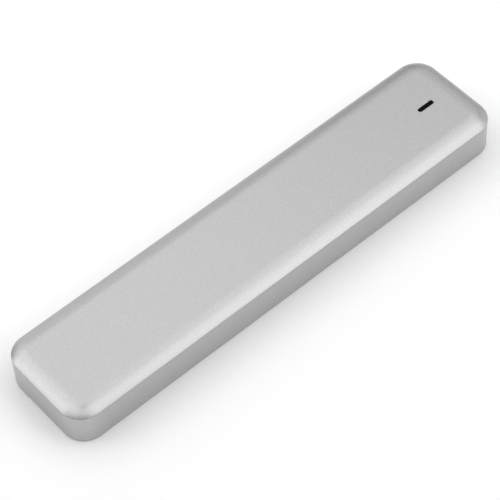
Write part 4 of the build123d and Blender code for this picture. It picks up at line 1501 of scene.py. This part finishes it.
@dataclass
class Boards:
    """The small parts on the two boards, and the socket's spring contacts. Sizes are in millimetres."""

    repeated: RepeatedPiece
    finger_places: int = 19
    finger_pitch: float = 1.0
    key_place: int = 6
    contact_width: float = 0.34
    contact_thickness: float = 0.15
    contact_foot: float = 0.2
    contact_slope: float = 0.7
    lead_in: float = 0.41
    insertion: float = 4.0
    capacitor: Point = (1.6, 0.8, 0.8)
    resistor: Point = (1.0, 0.5, 0.35)
    block_pitch: float = 2.0
    # Where blocks stand in a row, in pitches: counted from its middle, or from the block that comes first.
    middle_row: tuple[int, ...] = (-2, -1, 0, 1, 2)
    end_row: tuple[int, ...] = (-2, 2)
    first_row: tuple[int, ...] = (0, 1, 2)
    block_corner: float = 0.05
    block_crease: float = 40.0
    plated_share: float = 0.1875
    plating: float = 0.02
    chip_length: float = 4.9
    chip_edge: float = 0.1
    chip_bevel: float = 0.18
    chip_corner: float = 0.08
    leg_root: float = 0.2
    leg_reach: float = 1.0
    leg_pitch: float = 1.27
    leg_width: float = 0.4
    leg_thickness: float = 0.2
    legs_per_side: int = 4

    def springs(self) -> Mesh:
        """Build the socket's contacts: a foot on the board, a slope down to the finger and a lifted lead-in.

        Returns:
            One mesh of all of them.
        """
        low, high = node_box("socket_contacts")
        nose = node_box("blade_board")[1].x
        mouth, foot = nose - self.insertion, high.z - self.contact_thickness / 2
        # A strip that slopes needs a little more than half its thickness under its middle line.
        touch = low.z + self.contact_slope * self.contact_thickness
        path = [
            (high.x, foot), (nose + self.contact_foot, foot), (nose - self.insertion / 2, touch),
            (mouth + self.insertion / 4, touch + self.lead_in),
        ]
        spring = strip(path, self.contact_width, self.contact_thickness)
        first = low.y + self.contact_width / 2
        rows = [first + n * self.finger_pitch for n in range(self.finger_places) if n != self.key_place]
        return self.repeated.repeat(spring, [(0.0, row, 0.0) for row in rows])

    def block(self, length: float, width: float, height: float) -> Mesh:
        """Build a ceramic block about the origin, with plated ends that stand a little proud of its middle.

        Args:
            length: its size along X.
            width: its size along Y.
            height: its size along Z.

        Returns:
            The solid, which says where it is plated.
        """
        end, inset = length / 2, self.plating
        band = end - self.plated_share * length
        # The step down from the plating is just wide enough not to be welded.
        half = ((-end, inset), (-end + inset, 0.0), (-band, 0.0), (-band + 2 * WELD, inset))
        rings = []
        for x, back in (*half, *((-x, back) for x, back in reversed(half))):
            plan = rounded(width - 2 * back, height - 2 * back, self.block_corner, steps=2)
            rings.append(upright(plan, x))
        return marked(loft("block", rings), band - WELD)

    def blocks(self, node: str, size: Point, spots: Plan, finish: Finish) -> None:
        """Put a ceramic block at each place of a node's blocks.

        Args:
            node: the node that they replace.
            size: a block's length, width and height.
            spots: their middles, seen from above.
            finish: what they are made of.
        """
        low, high = node_box(node)
        middle = (low.z + high.z) / 2
        mesh = self.repeated.repeat(self.block(*size), [(x, y, middle) for x, y in spots])
        place_piece(node + "_set", smoothed(mesh, self.block_crease), finish, "ceramic", node)

    def legged_chip(self) -> Mesh:
        """Build the firmware chip: a moulded body with four legs a side.

        Returns:
            One mesh, which says where it is plated.
        """
        low, high = node_box("firmware_chip")
        centre = node_middle("firmware_chip")
        half = (high.y - low.y) / 2 - self.leg_reach
        edge, foot = self.chip_edge, high.z - self.leg_thickness / 2
        top = high.z - edge
        middle = (low.z + top) / 2
        rings = []
        for height, inset in ((low.z, self.chip_bevel), (low.z + edge, edge), (middle, 0.0), (top, edge)):
            plan = rounded(self.chip_length - 2 * inset, 2 * (half - inset), self.chip_corner, steps=3)
            rings.append(ring(plan, height, centre))
        knee = half + self.leg_reach / 3
        path = [(half - self.leg_root, middle), (knee, middle), (knee, foot), (half + self.leg_reach, foot)]
        offsets = [(n - (self.legs_per_side - 1) / 2) * self.leg_pitch for n in range(self.legs_per_side)]
        rows = []
        for side in (-1, 1):
            leg = marked(strip(path, self.leg_width, self.leg_thickness), None)
            leg.transform(Matrix.Rotation(side * math.pi / 2, 4, "Z"))
            rows.append(self.repeated.repeat(leg, [(centre[0] + offset, centre[1], 0.0) for offset in offsets]))
        return merged(marked(loft("body", rings), math.inf), *rows)

    def build(self) -> None:
        """Make the springs, the ceramic blocks and the chip with legs."""
        place_piece("socket_springs", smoothed(self.springs()), GOLD_FINISH, "gold", "socket_contacts")
        pitch = self.block_pitch
        row = [(node_middle("board_capacitors")[0], n * pitch) for n in self.middle_row]
        self.blocks("board_capacitors", self.capacitor, row, CAPACITOR_FINISH)
        low, high = node_box("blade_capacitors")
        x, y = (size / 2 for size in self.capacitor[:2])
        grid = [(low.x + x + n * pitch, side) for n in self.first_row for side in (low.y + y, high.y - y)]
        self.blocks("blade_capacitors", self.capacitor, grid, CAPACITOR_FINISH)
        low, high = node_box("board_resistors")
        x, y = (size / 2 for size in self.resistor[:2])
        row = [(low.x + x + n * pitch, low.y + y) for n in self.first_row]
        row += [(high.x - x, n * pitch) for n in self.end_row]
        self.blocks("board_resistors", self.resistor, row, RESISTOR_FINISH)
        place_piece("firmware_package", smoothed(self.legged_chip()), LEGGED_FINISH, "package", "firmware_chip")


PACKAGES = (
    "flash_chips", "blade_controller", "cache_chip", "blade_power_chip", "bridge_chip", "voltage_regulator",
    "surge_protector",
)
NODE_FINISHES: dict[Finish, tuple[str, ...]] = {
    LAMP_FINISH: ("indicator_led",),
    BOARD_FINISH: ("bridge_board", "blade_board"),
    INSULATOR_FINISH: ("usb_insulator", "blade_socket"),
    GOLD_FINISH: ("edge_fingers",),
    PACKAGE_FINISH: PACKAGES,
    LID_FINISH: ("clock_crystal",),
    CORE_FINISH: ("power_inductor",),
    PAD_FINISH: ("thermal_pad",),
    FILM_FINISH: ("insulating_film",),
}


def direction(azimuth: float, elevation: float) -> Vector:
    """Find the way to something round the case.

    Args:
        azimuth: where it is round the case, in degrees from +X towards +Y.
        elevation: how high it is, in degrees.

    Returns:
        A vector of length 1.
    """
    turn, rise = math.radians(azimuth), math.radians(elevation)
    return Vector((math.cos(rise) * math.cos(turn), math.cos(rise) * math.sin(turn), math.sin(rise)))


@dataclass(frozen=True)
class SoftBox:
    """A square soft lamp that faces the case.

    Args:
        name: the lamp's name.
        azimuth: where it hangs round the case, in degrees from +X towards +Y.
        elevation: how high it hangs, in degrees.
        side: its side, in metres.
        glow: how bright its face looks, where 1 is white.
    """

    name: str
    azimuth: float
    elevation: float
    side: float
    glow: float

    def hang(self, distance: float) -> None:
        """Hang the lamp.

        Args:
            distance: how far it is from the case, in metres.
        """
        place = distance * direction(self.azimuth, self.elevation)
        data = bpy.data.lights.new(self.name, "AREA")
        data.shape = "SQUARE"
        data.size = self.side
        data.energy = self.glow * math.pi * self.side ** 2
        lamp = in_scene(self.name, data)
        lamp.location = place
        lamp.rotation_euler = place.to_track_quat("Z", "Y").to_euler()
        lamp.visible_camera = False


@dataclass
class Studio:
    """The pale floor, the soft lamps and the camera.

    Args:
        target: the point in the middle of the photograph, in millimetres.
        azimuth: where the camera stands, in degrees from +X towards +Y.
        elevation: how high it stands, in degrees.
        roll: how far it is turned about its line of sight, in degrees.
        distance: how far it is from the target, in millimetres.
        lens: its focal length, in millimetres.
        sensor: its sensor's width, in millimetres.
        sight: the nearest and the furthest that it sees, in metres.
        floor_side: half of the floor's side, in metres.
        floor_gap: how far the floor lies under the case, in millimetres.
        floor_colour: the paper's colour.
        floor_roughness: the paper's roughness.
        lamp_distance: how far the lamps are from the case, in metres.
        room_light: strength of the even light of the room.
        boxes: the lamps.
    """

    target: Point = (-0.679, 2.385, 0.0)
    azimuth: float = -128.4535
    elevation: float = 53.4522
    roll: float = -3.4435
    distance: float = 503.83
    lens: float = 157.395
    sensor: float = 36.0
    sight: tuple[float, float] = (0.01, 20.0)
    floor_side: float = 12.0
    floor_gap: float = 0.02
    floor_colour: str = "#FAFAFA"
    floor_roughness: float = 0.9
    lamp_distance: float = 1.0
    room_light: float = 0.15
    # Three rings of boxes: the high one fills the roof, the middle one the rolled edges, the low one the far rim.
    # Where boxes overlap, they glow less, so that the roof clips to white from no side.
    boxes: tuple[SoftBox, ...] = (
        SoftBox("high_back_right", 0, 62, 0.7, 1.07),
        SoftBox("high_back_left", 80, 62, 0.7, 0.80),
        SoftBox("high_left", 160, 62, 0.7, 0.99),
        SoftBox("high_front", 200, 62, 0.7, 0.50),
        SoftBox("high_front_right", 280, 62, 0.7, 1.22),
        SoftBox("middle_back", 40, 38, 0.7, 0.43),
        SoftBox("middle_back_left", 80, 38, 0.7, 0.41),
        SoftBox("middle_left", 120, 38, 0.7, 0.99),
        SoftBox("middle_left_end", 145, 28, 0.5, 1.52),
        SoftBox("middle_front_right", 295, 30, 0.5, 0.83),
        SoftBox("middle_right", 320, 38, 0.7, 1.26),
        SoftBox("low_back_right", 0, 16, 0.5, 0.76),
        SoftBox("low_back", 30, 20, 0.5, 0.41),
        SoftBox("low_back_left", 80, 16, 0.5, 0.75),
    )

    def camera(self) -> None:
        """Put the camera where the photograph was taken from."""
        roll = math.radians(self.roll)
        back = direction(self.azimuth, self.elevation)
        right = (-back).cross(Vector((0, 0, 1))).normalized()
        up = right.cross(-back)
        across = math.cos(roll) * right + math.sin(roll) * up
        above = -math.sin(roll) * right + math.cos(roll) * up
        data = bpy.data.cameras.new("camera")
        data.lens, data.sensor_width = self.lens, self.sensor
        data.clip_start, data.clip_end = self.sight
        camera = in_scene("camera", data)
        turn = Matrix((across, above, back)).transposed().to_4x4()
        camera.matrix_world = Matrix.Translation((Vector(self.target) + back * self.distance) * MM) @ turn
        bpy.context.scene.camera = camera

    def floor(self) -> None:
        """Lay the plain pale floor."""
        side, level = self.floor_side, -self.floor_gap * MM
        mesh = bpy.data.meshes.new("floor")
        corners = [(-side, -side, level), (side, -side, level), (side, side, level), (-side, side, level)]
        mesh.from_pydata(corners, [], [(0, 1, 2, 3)])
        material = bpy.data.materials.new("white paper")
        material.use_nodes = True
        shader = material.node_tree.nodes["Principled BSDF"]
        shader.inputs["Base Color"].default_value = linear(self.floor_colour)
        shader.inputs["Roughness"].default_value = self.floor_roughness
        mesh.materials.append(material)
        floor = in_scene("floor", mesh)

    def light(self) -> None:
        """Hang the lamps and set the even light of the room."""
        for soft_box in self.boxes:
            soft_box.hang(self.lamp_distance)
        world = bpy.data.worlds.new("room")
        world.use_nodes = True
        inputs = world.node_tree.nodes["Background"].inputs
        inputs["Color"].default_value = linear("#FFFFFF")
        inputs["Strength"].default_value = self.room_light
        bpy.context.scene.world = world
        bpy.context.scene.view_settings.view_transform = "Standard"


def main() -> None:
    """Load the frame, build and dress every piece, and light it."""
    logging.basicConfig(level=logging.INFO, format="%(message)s")
    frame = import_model()
    repeated = RepeatedPiece()
    Case(CrownedForm(), repeated).build()
    Port(repeated).build()
    Boards(repeated).build()
    for finish, names in NODE_FINISHES.items():
        for name in names:
            materials = frame["nodes"][name].data.materials
            materials.clear()
            materials.append(finish.make())
            LOG.info("%s: dressed in %s", name, finish.name)
    studio = Studio()
    studio.camera()
    studio.floor()
    studio.light()


if __name__ == "__main__":
    main()
